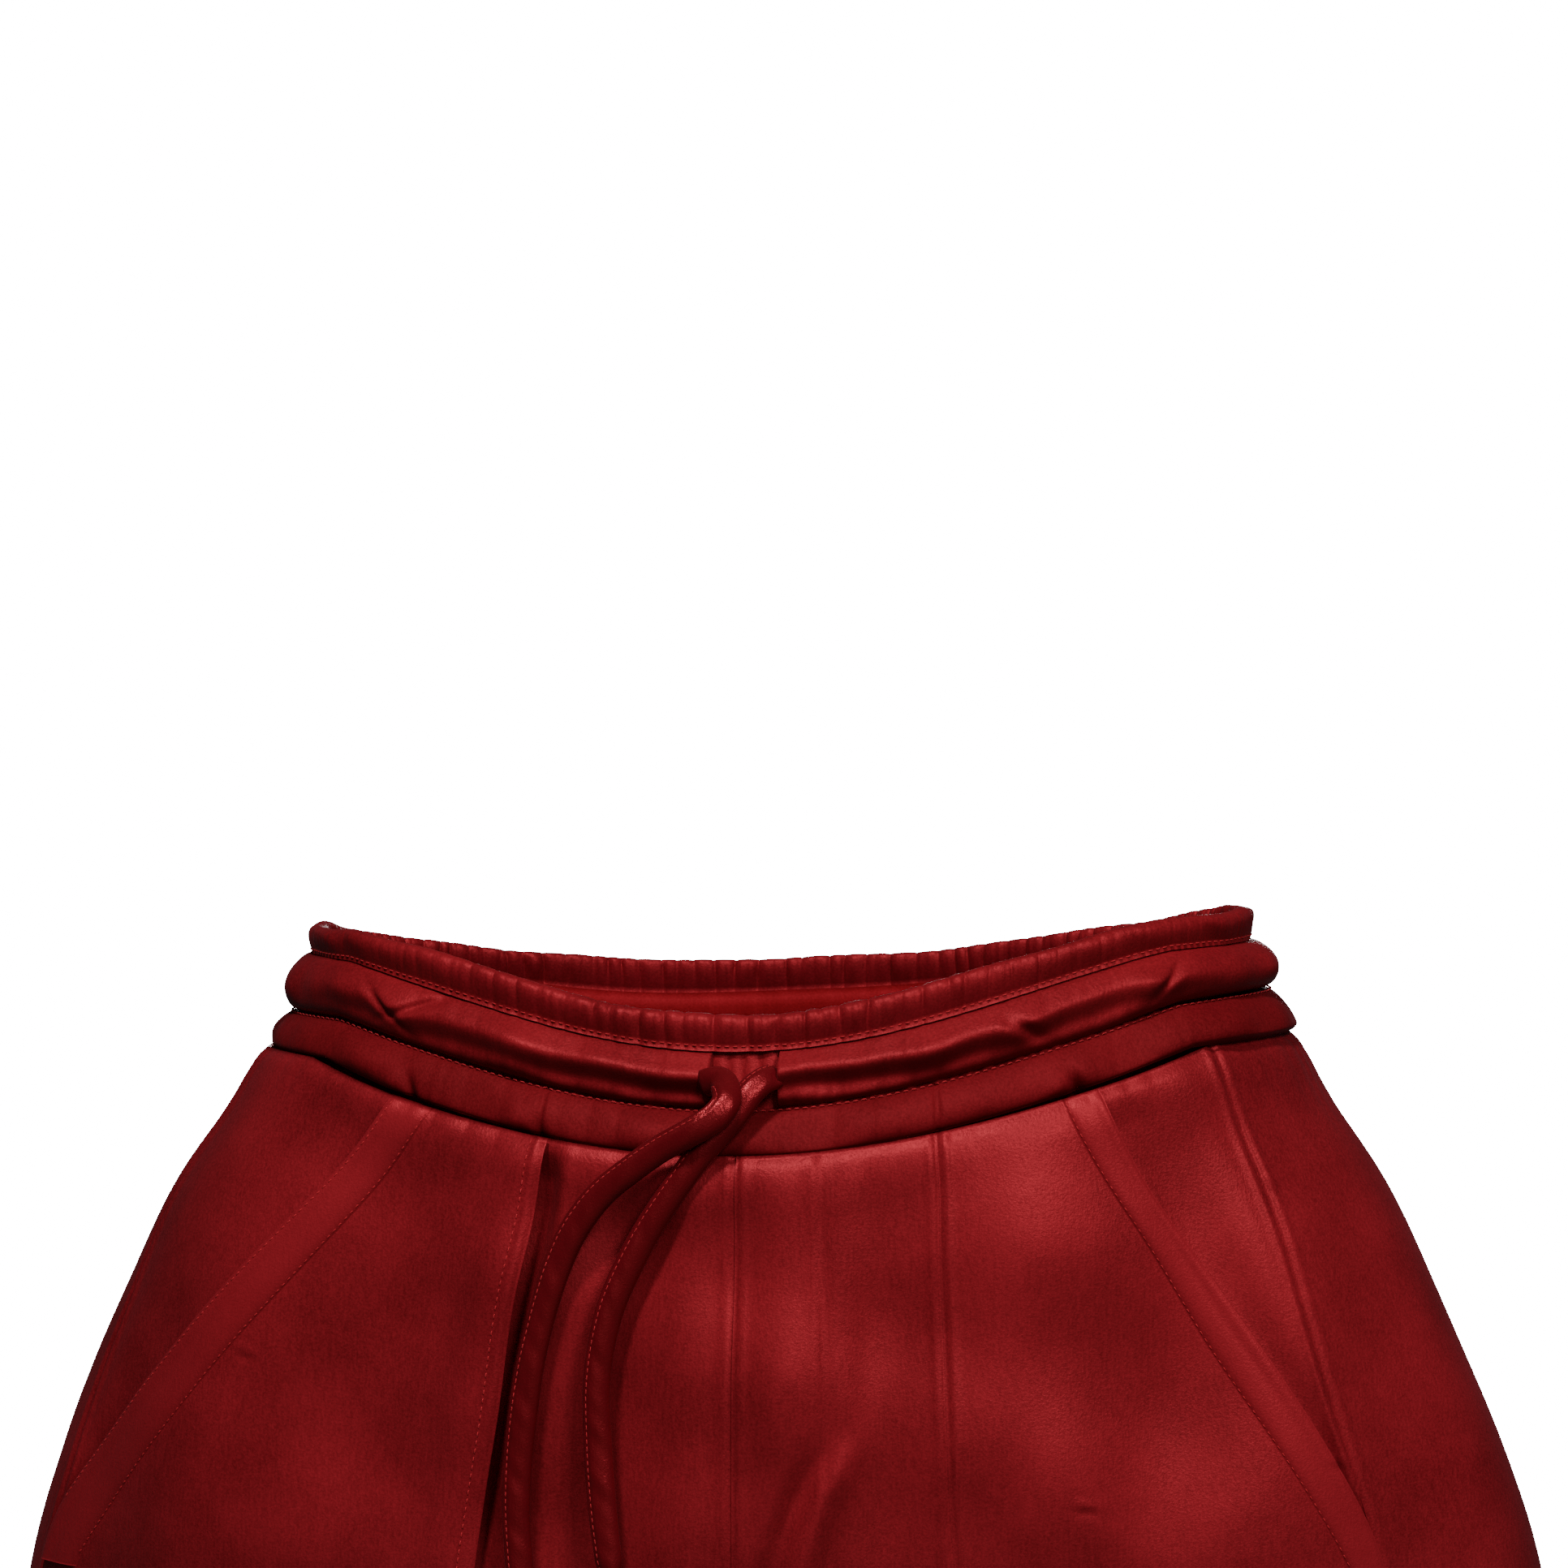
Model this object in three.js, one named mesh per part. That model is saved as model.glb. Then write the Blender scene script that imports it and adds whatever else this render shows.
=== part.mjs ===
// Boxing shorts with a gathered waistband, a drawcord, slanted pockets and two loose legs.
// Millimetres. The origin is the centre of the waist opening, +Z is up and the front faces -Y.
// "right" and "left" are the wearer's: right is at -X.
import * as THREE from "three";

// Overall sizes
const waistWidth = 332;
const waistDepth = 162;
const hipWidth = 530;
const hipDepth = 212;
const hemWidth = 580;
const hemDepth = 150;
const sideLength = 450;
const riseLength = 285;

// Waistband
const headingHeight = 11;
const tunnelHeight = 20;
const lowerTierHeight = 14;
const bandHeight = headingHeight + tunnelHeight + lowerTierHeight;
const rimAboveOrigin = 20;
const bandSteps = 48;
const tunnelEndAngle = 180 / bandSteps;
const elasticThickness = 1.6;

// Cloth and fits
const clothThickness = 2;
const layerGap = 0.35;
const bagGap = 1.6;
const seamGap = 0.7;
const weltWidth = 13;
const weltThickness = 1.6;
const hemBandHeight = 24;
const ventHeight = 58;

// Drawcord
const cordWidth = 9.6;
const hiddenCordThickness = 3;
const tunnelWall = 1.1;

// The legs turn about this line, and the body ends on a round cut about it
const hipAxisHeight = -200;
const hipCutRadius = (130 / 450) * sideLength;
const hipCutGap = 3;

const panelColor = 0x7d1018;
const bandColor = 0x86121b;
const innerColor = 0x6a0d14;
const shorts = new THREE.Group();
shorts.name = "boxing_shorts";

// Each level of the waistband: height at the sides, dip at the front and back, and how far it stands out
const bandLevels = [
  { rise: rimAboveOrigin, dip: 23.6, out: 0, width: 0.85, power: 1.4 },
  { rise: rimAboveOrigin - headingHeight, dip: 24.9, out: 1, width: 0.87, power: 1.3 },
  { rise: rimAboveOrigin - headingHeight - tunnelHeight, dip: 25.9, out: 5.5, width: 0.9, power: 1.15 },
  { rise: rimAboveOrigin - bandHeight, dip: 28.2, out: 13.2, width: 0.92, power: 1 },
];
const bandBottom = bandLevels[3];
const topHalfWidth = waistWidth / 2 + bandBottom.out;
const topHalfDepth = waistDepth / 2 + bandBottom.out;
const fullDrop = sideLength - bandHeight;

// Half width and half depth below the band, as [share of the drop, share of the way to the next size]
const widthSteps = [
  [0, topHalfWidth],
  [0.017, THREE.MathUtils.lerp(topHalfWidth, hipWidth / 2, 0.08)],
  [0.079, THREE.MathUtils.lerp(topHalfWidth, hipWidth / 2, 0.27)],
  [0.143, THREE.MathUtils.lerp(topHalfWidth, hipWidth / 2, 0.45)],
  [0.207, THREE.MathUtils.lerp(topHalfWidth, hipWidth / 2, 0.59)],
  [0.272, THREE.MathUtils.lerp(topHalfWidth, hipWidth / 2, 0.72)],
  [0.336, THREE.MathUtils.lerp(topHalfWidth, hipWidth / 2, 0.85)],
  [0.42, hipWidth / 2],
  [0.54, THREE.MathUtils.lerp(hipWidth / 2, hemWidth / 2, 0.42)],
  [0.69, THREE.MathUtils.lerp(hipWidth / 2, hemWidth / 2, 0.75)],
  [1, hemWidth / 2],
];
const depthSteps = [
  [0, topHalfDepth],
  [0.12, THREE.MathUtils.lerp(topHalfDepth, hipDepth / 2, 0.58)],
  [0.25, THREE.MathUtils.lerp(topHalfDepth, hipDepth / 2, 0.83)],
  [0.42, hipDepth / 2],
  [0.6, THREE.MathUtils.lerp(hipDepth / 2, hemDepth / 2, 0.16)],
  [0.76, THREE.MathUtils.lerp(hipDepth / 2, hemDepth / 2, 0.5)],
  [1, hemDepth / 2],
];

function alongSteps(steps, drop) {
  const share = THREE.MathUtils.clamp(drop / fullDrop, 0, 1);
  let i = 1;
  while (i < steps.length - 1 && steps[i][0] < share) i += 1;
  const [from, low] = steps[i - 1];
  const [to, high] = steps[i];
  return THREE.MathUtils.lerp(low, high, (share - from) / (to - from));
}

function dipAt(level, across) {
  const reach = Math.cos((Math.PI * Math.min(Math.abs(across), 1)) / (2 * level.width));
  return level.dip * Math.max(reach, 0) ** level.power;
}

// A point of the waistband: angle round the waist (0 at the wearer's left side, 90 at the back),
// level 0 at the rim to 3 at the body seam, and a distance out from the band's surface
function bandPoint(angle, level, out) {
  const i = Math.min(Math.floor(level), 2);
  const part = level - i;
  const [upper, lower] = [bandLevels[i], bandLevels[i + 1]];
  const across = Math.cos(angle);
  const rise = THREE.MathUtils.lerp(upper.rise, lower.rise, part);
  const dip = THREE.MathUtils.lerp(dipAt(upper, across), dipAt(lower, across), part);
  const away = THREE.MathUtils.lerp(upper.out, lower.out, part) + out;
  const facing = new THREE.Vector2(
    (waistDepth / 2) * across,
    (waistWidth / 2) * Math.sin(angle),
  ).normalize();
  return new THREE.Vector3(
    (waistWidth / 2) * across + away * facing.x,
    (waistDepth / 2) * Math.sin(angle) + away * facing.y,
    rise - dip,
  );
}

// Height of the cloth at a drop below the band: the band's dip fades out over the hips
const dipFadeDrop = 200;
function heightAt(across, drop) {
  const fade = THREE.MathUtils.clamp(1 - drop / dipFadeDrop, 0, 1);
  return bandBottom.rise - drop - dipAt(bandBottom, across) * fade;
}

// How far the body has parted into two legs at a drop, and half the gap between the legs
const legStartDrop = 195;
const legEndDrop = fullDrop - 75;
const legGap = 6;
const legStartAngle = -50;
const legSweep = 280;
const legShare = (drop) => THREE.MathUtils.smoothstep(drop, legStartDrop, legEndDrop);
const middleGap = (drop) =>
  THREE.MathUtils.lerp(seamGap / 2, legGap, THREE.MathUtils.smoothstep(drop, 180, legEndDrop - 30));

function legPoint(turn, halfWidth, halfDepth) {
  const angle = THREE.MathUtils.degToRad(legStartAngle + legSweep * turn);
  const middle = (halfWidth + legGap) / 2;
  return new THREE.Vector2(
    middle + (middle - legGap) * Math.sin(angle),
    -halfDepth * Math.cos(angle),
  );
}

// A point of one side's outer cloth: turn 0 at the centre front, 1 at the centre back
function outerPoint(side, turn, drop) {
  const halfWidth = alongSteps(widthSteps, drop);
  const halfDepth = alongSteps(depthSteps, drop);
  const gap = middleGap(drop);
  const across = Math.sin(Math.PI * turn);
  const body = new THREE.Vector2(
    gap + (halfWidth - gap) * across,
    -halfDepth * Math.cos(Math.PI * turn),
  );
  body.lerp(legPoint(turn, halfWidth, halfDepth), legShare(drop));
  return new THREE.Vector3(side * body.x, body.y, heightAt(across, drop));
}

// A point of one side's inner thigh: turn 0 at the centre back, 1 at the centre front
function innerPoint(side, turn, drop) {
  const halfWidth = alongSteps(widthSteps, drop);
  const halfDepth = alongSteps(depthSteps, drop);
  const flat = new THREE.Vector2(middleGap(drop), halfDepth * (1 - 2 * turn));
  const legTurn = 1 + (turn * (360 - legSweep)) / legSweep;
  flat.lerp(legPoint(legTurn, halfWidth, halfDepth), legShare(drop));
  return new THREE.Vector3(side * flat.x, flat.y, bandBottom.rise - drop);
}

// The same surface moved out along its normal
function movedOut(surface, side, turn, drop, out) {
  const step = 0.004;
  const here = surface(side, turn, drop);
  const along = surface(side, turn + step, drop).sub(surface(side, turn - step, drop));
  const down = surface(side, turn, drop + 1).sub(surface(side, turn, drop - 1));
  const normal = along.cross(down).normalize().multiplyScalar(-side * out);
  return here.add(normal);
}

// The drop at which a surface meets the round cut about the hip line
function cutDrop(surface, side, turn, radius) {
  let [low, high] = [0, fullDrop];
  for (let i = 0; i < 30; i += 1) {
    const middle = (low + high) / 2;
    const point = surface(side, turn, middle);
    const above = point.z - hipAxisHeight;
    if (above > 0 || Math.hypot(point.y, above) < radius) low = middle;
    else high = middle;
  }
  return low;
}

function addPiece(name, geometry, color, roughness = 0.55) {
  const material = new THREE.MeshStandardMaterial({ color, roughness, metalness: 0 });
  const mesh = new THREE.Mesh(geometry, material);
  mesh.name = name;
  shorts.add(mesh);
}

// Moves each vertex of a geometry by a function of its place
function bent(geometry, place) {
  const position = geometry.getAttribute("position");
  const from = new THREE.Vector3();
  for (let i = 0; i < position.count; i += 1) {
    const to = place(from.fromBufferAttribute(position, i));
    position.setXYZ(i, to.x, to.y, to.z);
  }
  return geometry;
}

// Turns each face round, for a geometry that its bending has mirrored
function facesTurned(geometry) {
  const index = geometry.getIndex();
  for (let i = 0; i < index.count; i += 3) {
    const second = index.getX(i + 1);
    index.setX(i + 1, index.getX(i + 2));
    index.setX(i + 2, second);
  }
  return geometry;
}

// A slab of cloth bent over a surface. Edges are numbers or functions
function addPanel(name, panel) {
  const { surface, side, from, to, top, bottom, out, thick, across = 6, down = 8, color } = panel;
  const edge = (value, at) => (typeof value === "function" ? value(at) : value);
  const box = new THREE.BoxGeometry(1, 1, 1, across, down, 1);
  const geometry = bent(box, (p) => {
    const fall = 0.5 - p.y;
    const guess = THREE.MathUtils.lerp(edge(top, 0.3), edge(bottom, 0.3), fall);
    const turn = THREE.MathUtils.lerp(edge(from, guess), edge(to, guess), p.x + 0.5);
    const drop = THREE.MathUtils.lerp(edge(top, turn), edge(bottom, turn), fall);
    return movedOut(surface, side, turn, drop, out - thick * (0.5 - p.z));
  });
  addPiece(name, side < 0 ? facesTurned(geometry) : geometry, color);
}

// A closed ring of the waistband between two levels
function addBandRing(name, ring) {
  const { top, bottom, inner, outer, color, roughness } = ring;
  const torus = new THREE.TorusGeometry(1, 0.4, 8, bandSteps);
  const geometry = bent(torus, (p) => {
    const angle = Math.atan2(p.y, p.x) + Math.PI / bandSteps;
    const across = (Math.hypot(p.x, p.y) - 1) / 0.4;
    const upward = p.z / 0.4;
    const most = Math.max(Math.abs(across), Math.abs(upward));
    const out = THREE.MathUtils.lerp(inner, outer, 0.5 + across / most / 2);
    const level = THREE.MathUtils.lerp(bottom, top, 0.5 + upward / most / 2);
    return bandPoint(angle, level, out);
  });
  addPiece(name, geometry, color, roughness);
}

// A strip round the waist from one tunnel end to the other, with the given section
function addBandStrip(name, shape, color) {
  const strip = new THREE.ExtrudeGeometry(shape, {
    depth: 1,
    steps: bandSteps - 1,
    bevelEnabled: false,
    curveSegments: 3,
  });
  const start = THREE.MathUtils.degToRad(tunnelEndAngle - 90);
  const sweep = THREE.MathUtils.degToRad(360 - 2 * tunnelEndAngle);
  bent(strip, (p) => bandPoint(start + sweep * p.z, p.y, p.x));
  addPiece(name, strip, color);
}

function sectionShape(inner, outer, top, bottom) {
  const shape = new THREE.Shape();
  const round = 0.18;
  shape.moveTo(inner, top);
  shape.lineTo(outer - 1, top);
  shape.lineTo(outer, top + round);
  shape.lineTo(outer, bottom - round);
  shape.lineTo(outer - 1, bottom);
  shape.lineTo(inner, bottom);
  shape.closePath();
  return shape;
}

// Waistband, from the inside out: facing, elastic, under-layer, tunnel with its cord
const facingOut = -6.2;
const elasticOut = facingOut + clothThickness / 2 + layerGap;
const underOut = elasticOut + elasticThickness + layerGap;
const tunnelInner = underOut + clothThickness + layerGap;
const tunnelOuter = tunnelInner + 2 * tunnelWall + hiddenCordThickness + 2 * layerGap;
const levelGap = 0.03;

addBandRing("waist_heading", {
  top: 0,
  bottom: 1 - levelGap,
  inner: -3.4,
  outer: 2,
  color: bandColor,
});
addBandRing("waist_facing", {
  top: 1 + levelGap,
  bottom: 2.95,
  inner: facingOut,
  outer: facingOut + clothThickness / 2,
  color: innerColor,
});
addBandRing("waist_elastic", {
  top: 1.08,
  bottom: 1.92,
  inner: elasticOut,
  outer: elasticOut + elasticThickness,
  color: 0x2a2a2c,
  roughness: 0.8,
});
addBandRing("gathered_under_layer", {
  top: 1 + levelGap,
  bottom: 2 - levelGap,
  inner: underOut,
  outer: underOut + clothThickness,
  color: innerColor,
});
addBandRing("waist_lower_tier", {
  top: 2 + levelGap,
  bottom: 3 - levelGap,
  inner: underOut - 1,
  outer: 1.2,
  color: bandColor,
});

const tunnelShape = sectionShape(tunnelInner, tunnelOuter, 1.04, 1.96);
tunnelShape.holes.push(
  sectionShape(tunnelInner + tunnelWall, tunnelOuter - tunnelWall, 1.1, 1.9),
);
const cordHalfSpan = cordWidth / tunnelHeight / 2;
const cordInner = tunnelInner + tunnelWall + layerGap;
const cordShape = sectionShape(
  cordInner,
  cordInner + hiddenCordThickness,
  1.5 - cordHalfSpan,
  1.5 + cordHalfSpan,
);
addBandStrip("cord_tunnel", tunnelShape, bandColor);
addBandStrip("cord_run_in_tunnel", cordShape, bandColor);

// Seams of the outer cloth, as turns round one side
const princessTurn = 0.12;
const sideSeamTurn = 0.385;
const backSeamTurn = 0.72;
const bagDrop = 150;
const pocketTurn = (drop) =>
  THREE.MathUtils.mapLinear(Math.min(drop, bagDrop + 20), 0, bagDrop + 20, 0.215, 0.335);
const turnGap = seamGap / (waistWidth * 1.2);
const crotchDrop = riseLength - bandHeight;
const crotchRise = 42;
const crotchTop = (turn) => crotchDrop - crotchRise * (1 - 2 * turn) ** 2;
const ventTurn = (edge, sign) => (drop) => {
  const open = THREE.MathUtils.smoothstep(drop, fullDrop - ventHeight, fullDrop);
  return edge + sign * (turnGap + 0.012 * open);
};

for (const [word, side] of [["right", -1], ["left", 1]]) {
  const bodyEnd = (surface) => (turn) => cutDrop(surface, side, turn, hipCutRadius);
  const legTop = (surface) => (turn) => cutDrop(surface, side, turn, hipCutRadius + hipCutGap);
  const body = {
    surface: outerPoint,
    side,
    top: 0.8,
    bottom: bodyEnd(outerPoint),
    out: 0,
    thick: clothThickness,
    color: panelColor,
  };

  addPanel("front_centre_" + word, {
    ...body,
    from: turnGap / 2,
    to: princessTurn - turnGap,
    across: 4,
  });
  addPanel("front_side_" + word, {
    ...body,
    from: princessTurn,
    to: (drop) => pocketTurn(drop) - turnGap,
    across: 4,
  });
  addPanel("side_" + word, { ...body, from: pocketTurn, to: sideSeamTurn - turnGap, across: 5 });
  addPanel("back_side_" + word, {
    ...body,
    from: sideSeamTurn,
    to: backSeamTurn - turnGap,
    across: 8,
  });
  addPanel("back_centre_" + word, {
    ...body,
    from: backSeamTurn,
    to: 1 - turnGap / 2,
    across: 6,
  });

  // The pocket: a welt outside its mouth and a flat bag inside
  const weltTurn = weltWidth / (waistWidth * 1.9);
  addPanel("pocket_welt_" + word, {
    ...body,
    top: 4,
    bottom: bagDrop,
    from: (drop) => pocketTurn(drop) - weltTurn,
    to: pocketTurn,
    out: layerGap + weltThickness,
    thick: weltThickness,
    across: 2,
    down: 8,
  });
  addPanel("pocket_bag_" + word, {
    ...body,
    top: 6,
    bottom: bagDrop + 12,
    from: 0.165,
    to: sideSeamTurn - 0.02,
    out: -clothThickness - bagGap,
    thick: clothThickness,
    color: innerColor,
    across: 6,
    down: 6,
  });

  // Inner thigh, from the crotch to the round cut
  addPanel("inner_thigh_" + word, {
    ...body,
    surface: innerPoint,
    top: (turn) => crotchTop(turn) + 3,
    bottom: bodyEnd(innerPoint),
    from: 0.03,
    to: 0.97,
    out: -layerGap,
    across: 8,
    down: 3,
  });

  // Leg below the round cut
  const leg = {
    ...body,
    top: legTop(outerPoint),
    bottom: fullDrop - hemBandHeight - seamGap,
    down: 6,
  };
  addPanel("leg_front_" + word, {
    ...leg,
    from: turnGap,
    to: ventTurn(sideSeamTurn, -1),
    across: 9,
  });
  addPanel("leg_back_" + word, {
    ...leg,
    from: ventTurn(sideSeamTurn, 1),
    to: 1 - turnGap,
    across: 12,
  });
  addPanel("leg_inner_" + word, {
    ...leg,
    surface: innerPoint,
    top: legTop(innerPoint),
    from: turnGap,
    to: 1 - turnGap,
    across: 6,
  });

  // The hem band runs round the leg from one edge of the vent to the other
  const wholeTurn = 360 / legSweep;
  addPanel("hem_band_" + word, {
    ...leg,
    top: fullDrop - hemBandHeight,
    bottom: fullDrop,
    from: ventTurn(sideSeamTurn, 1),
    to: (drop) => ventTurn(sideSeamTurn, -1)(drop) + wholeTurn,
    out: 0.6,
    thick: clothThickness + 1.2,
    across: 32,
    down: 1,
  });
}

// Crotch gusset: a curved strip under the body between the two inner thighs
const gussetHalfWidth = 11;
const gussetBox = new THREE.BoxGeometry(1, 1, 1, 2, 12, 1);
bent(gussetBox, (p) => {
  const turn = 0.5 + 0.86 * p.y;
  const drop = crotchTop(turn);
  const middle = innerPoint(1, turn, drop);
  const wide = gussetHalfWidth * (1.15 - Math.abs(2 * p.y));
  return new THREE.Vector3(2 * wide * p.x, middle.y, middle.z + clothThickness * p.z);
});
addPiece("crotch_gusset", facesTurned(gussetBox), panelColor);

// Drawcord tails: out of the tunnel's ends, crossing once, then down in front of the cloth
const tunnelEndAcross = (waistWidth / 2) * Math.sin(THREE.MathUtils.degToRad(tunnelEndAngle));
const tails = {
  right: {
    route: [
      [2.7 - tunnelEndAcross, -87, -26.5],
      [-3.5, -91, -26],
      [-1, -97, -30],
      [-3, -103, -36],
      [-9, -105.5, -42],
      [-22, -105, -50],
      [-43, -103, -65],
      [-58, -102, -86],
      [-66, -103, -115],
      [-71, -105, -142],
      [-73, -106, -170],
      [-71, -109, -207],
    ],
    knotHalf: [7.5, 6, 8.5],
  },
  left: {
    route: [
      [tunnelEndAcross - 2.9, -87, -26.5],
      [5.5, -91, -29],
      [3, -95, -34.5],
      [-1, -97.5, -42],
      [-11, -99.5, -53],
      [-28, -102.5, -78],
      [-38, -104.5, -99],
      [-44, -106, -120],
      [-45, -107.5, -142],
      [-44, -109.5, -165],
      [-41, -112, -192],
    ],
    knotHalf: [7, 6, 8],
  },
};

const cordThickness = 5.6;
const cordSection = new THREE.Shape();
cordSection.absellipse(0, 0, cordThickness / 2, cordThickness / 2, 0, 2 * Math.PI);

for (const [word, tail] of Object.entries(tails)) {
  const points = tail.route.map((p) => new THREE.Vector3(...p));
  const path = new THREE.CatmullRomCurve3(points, false, "centripetal");
  const tube = new THREE.ExtrudeGeometry(cordSection, {
    steps: 26,
    curveSegments: 2,
    extrudePath: path,
  });
  addPiece("drawcord_tail_" + word, tube, bandColor);
  const last = points[points.length - 1];
  const knot = new THREE.SphereGeometry(1, 12, 8);
  bent(knot, (p) => {
    const [x, y, z] = tail.knotHalf;
    return new THREE.Vector3(last.x + x * p.x, last.y + y * p.y, last.z - z - 0.4 + z * p.z);
  });
  addPiece("drawcord_knot_" + word, knot, bandColor);
}

export default shorts;
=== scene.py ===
import math
import bpy
import numpy as np
from mathutils import Matrix, Vector


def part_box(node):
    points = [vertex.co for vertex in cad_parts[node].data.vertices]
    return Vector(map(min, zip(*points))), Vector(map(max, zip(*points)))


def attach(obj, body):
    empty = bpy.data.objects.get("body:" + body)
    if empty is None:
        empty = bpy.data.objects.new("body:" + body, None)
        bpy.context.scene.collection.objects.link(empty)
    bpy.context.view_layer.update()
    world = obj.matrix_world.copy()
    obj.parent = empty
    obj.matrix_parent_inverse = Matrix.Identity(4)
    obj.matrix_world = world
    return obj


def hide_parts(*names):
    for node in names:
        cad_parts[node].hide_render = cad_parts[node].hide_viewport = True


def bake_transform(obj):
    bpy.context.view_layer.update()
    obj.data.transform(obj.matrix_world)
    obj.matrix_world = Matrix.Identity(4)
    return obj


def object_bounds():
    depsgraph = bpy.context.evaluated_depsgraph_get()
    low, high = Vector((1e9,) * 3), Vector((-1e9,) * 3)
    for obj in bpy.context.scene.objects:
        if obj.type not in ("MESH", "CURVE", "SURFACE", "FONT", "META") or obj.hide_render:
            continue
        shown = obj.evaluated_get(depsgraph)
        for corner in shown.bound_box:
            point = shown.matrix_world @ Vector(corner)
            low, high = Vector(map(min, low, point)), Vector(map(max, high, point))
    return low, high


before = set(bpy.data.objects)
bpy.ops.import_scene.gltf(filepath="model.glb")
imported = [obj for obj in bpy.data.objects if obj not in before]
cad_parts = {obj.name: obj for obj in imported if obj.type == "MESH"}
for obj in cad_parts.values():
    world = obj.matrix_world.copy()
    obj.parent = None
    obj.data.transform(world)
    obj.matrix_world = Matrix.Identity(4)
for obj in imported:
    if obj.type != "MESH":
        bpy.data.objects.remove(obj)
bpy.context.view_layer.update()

mm = 0.001  # shapes are worked out in millimetres and built in metres
sides = {"right": -1, "left": 1}  # the wearer's right is at -X

# helpers


def mix(a, b, share):
    return a + (b - a) * share


def smooth(value, low, high):
    t = np.clip((value - low) / (high - low), 0, 1)
    return t * t * (3 - 2 * t)


def bell(distance, width):
    return np.exp(-((distance / width) ** 2))


def along(points, at):
    # A smooth value along given (place, value) pairs
    places = np.array([p[0] for p in points], float)
    values = np.array([p[1] for p in points], float)
    return np.interp(at, places, values)


def ripple(at, seed, lengths, sizes):
    # a smooth uneven wave: several sines with fixed random starts
    random = np.random.default_rng(seed)
    total = np.zeros_like(np.asarray(at, float))
    for length, size in zip(lengths, sizes):
        total = total + size * np.sin(2 * math.pi * at / length + random.uniform(0, 6.28))
    return total


def flutes(at, whole, seed, narrow, wide, lean=0.0, crease=0.6):
    # gathered cloth: rounded humps of uneven width, 0 in the sharp crease between two and 1 on a hump
    random = np.random.default_rng(seed)
    edges = [0.0]
    while edges[-1] < whole - narrow:
        edges.append(edges[-1] + random.uniform(narrow, wide))
    edges = np.array(edges) * whole / edges[-1]
    heights = random.uniform(0.7, 1.0, len(edges))
    tilts = random.uniform(-1, 1, len(edges))
    place = np.mod(at + lean * np.interp(np.mod(at, whole), edges, tilts), whole)
    index = np.clip(np.searchsorted(edges, place, side="right") - 1, 0, len(edges) - 2)
    part = (place - edges[index]) / (edges[index + 1] - edges[index])
    return heights[index] * np.sin(math.pi * part) ** crease


def normalsOf(points, flip):
    du = np.gradient(points, axis=0)
    dv = np.gradient(points, axis=1)
    normal = np.cross(du, dv)
    length = np.linalg.norm(normal, axis=-1, keepdims=True)
    return normal / np.maximum(length, 1e-9) * (-1 if flip else 1)


def makeMesh(name, vertices, faces, material, flat=()):
    mesh = bpy.data.meshes.new(name)
    faceRows = faces.tolist() if isinstance(faces, np.ndarray) else faces
    mesh.from_pydata((np.asarray(vertices) * mm).tolist(), [], faceRows)
    mesh.validate()
    mesh.materials.append(material)
    smoothFaces = np.ones(len(mesh.polygons), bool)
    for start, stop in flat:
        smoothFaces[start:stop] = False
    mesh.polygons.foreach_set("use_smooth", smoothFaces)
    mesh.update()
    piece = bpy.data.objects.new(name, mesh)
    bpy.context.scene.collection.objects.link(piece)
    return piece


def clothShell(name, points, thickness, material, flip=False, ring=False):
    # A sheet of cloth with real thickness: the grid's outer side, its inner side and a closed edge
    across, down = points.shape[:2]
    if ring:
        padded = np.concatenate([points[-2:-1], points, points[1:2]], axis=0)
        normal = normalsOf(padded, flip)[1:-1]
    else:
        normal = normalsOf(points, flip)
    inner = points - normal * thickness
    if ring:
        points, inner, across = points[:-1], inner[:-1], across - 1
    count = across * down
    vertices = np.concatenate([points.reshape(-1, 3), inner.reshape(-1, 3)])
    steps = np.arange(across if ring else across - 1)
    i, j = np.meshgrid(steps, np.arange(down - 1), indexing="ij")
    k = (i + 1) % across
    quads = np.stack([i * down + j, k * down + j, k * down + j + 1, i * down + j + 1], -1).reshape(-1, 4)
    if flip:
        quads = quads[:, ::-1]
    faces = [quads, quads[:, ::-1] + count]
    border = []
    for row in (0, down - 1):
        a, b = steps * down + row, ((steps + 1) % across) * down + row
        border.append(np.stack([a, b], -1) if row else np.stack([b, a], -1))
    if not ring:
        for column in (0, across - 1):
            a = column * down + np.arange(down - 1)
            border.append(np.stack([a, a + 1], -1) if column == 0 else np.stack([a + 1, a], -1))
    edges = np.concatenate(border)
    if flip:
        edges = edges[:, ::-1]
    rim = np.stack([edges[:, 1], edges[:, 0], edges[:, 0] + count, edges[:, 1] + count], -1)
    faces.append(rim)
    total = 2 * len(quads)
    return makeMesh(name, vertices, np.concatenate(faces), material, [(total, total + len(rim))])


print("helpers ready")

# the garment's form

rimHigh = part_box("waist_heading")[1]
form = dict(
    rimHalfWidth=rimHigh.x / mm - 3,
    rimHalfDepth=81.0,
    fullDrop=-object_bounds()[0].z / mm - 25,
    backSag=3.6,  # the back of the rim hangs lower on the wearer's right
    lean=math.tan(math.radians(1.26)),  # the band sits a little higher on the wearer's left
)

# the band's levels from the rim to the body seam, each with its height at the sides, its dip at the
# front and at the back, how far out it stands, and the powers of both dips
bandLevels = np.array([
    [20.0, 28.0, 20.0, 0.0, 1.4, 0.85],
    [9.0, 29.0, 21.5, 1.0, 1.3, 0.85],
    [-11.0, 28.5, 24.0, 5.5, 1.15, 0.9],
    [-25.0, 30.0, 28.0, 13.2, 1.0, 1.0],
])
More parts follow.
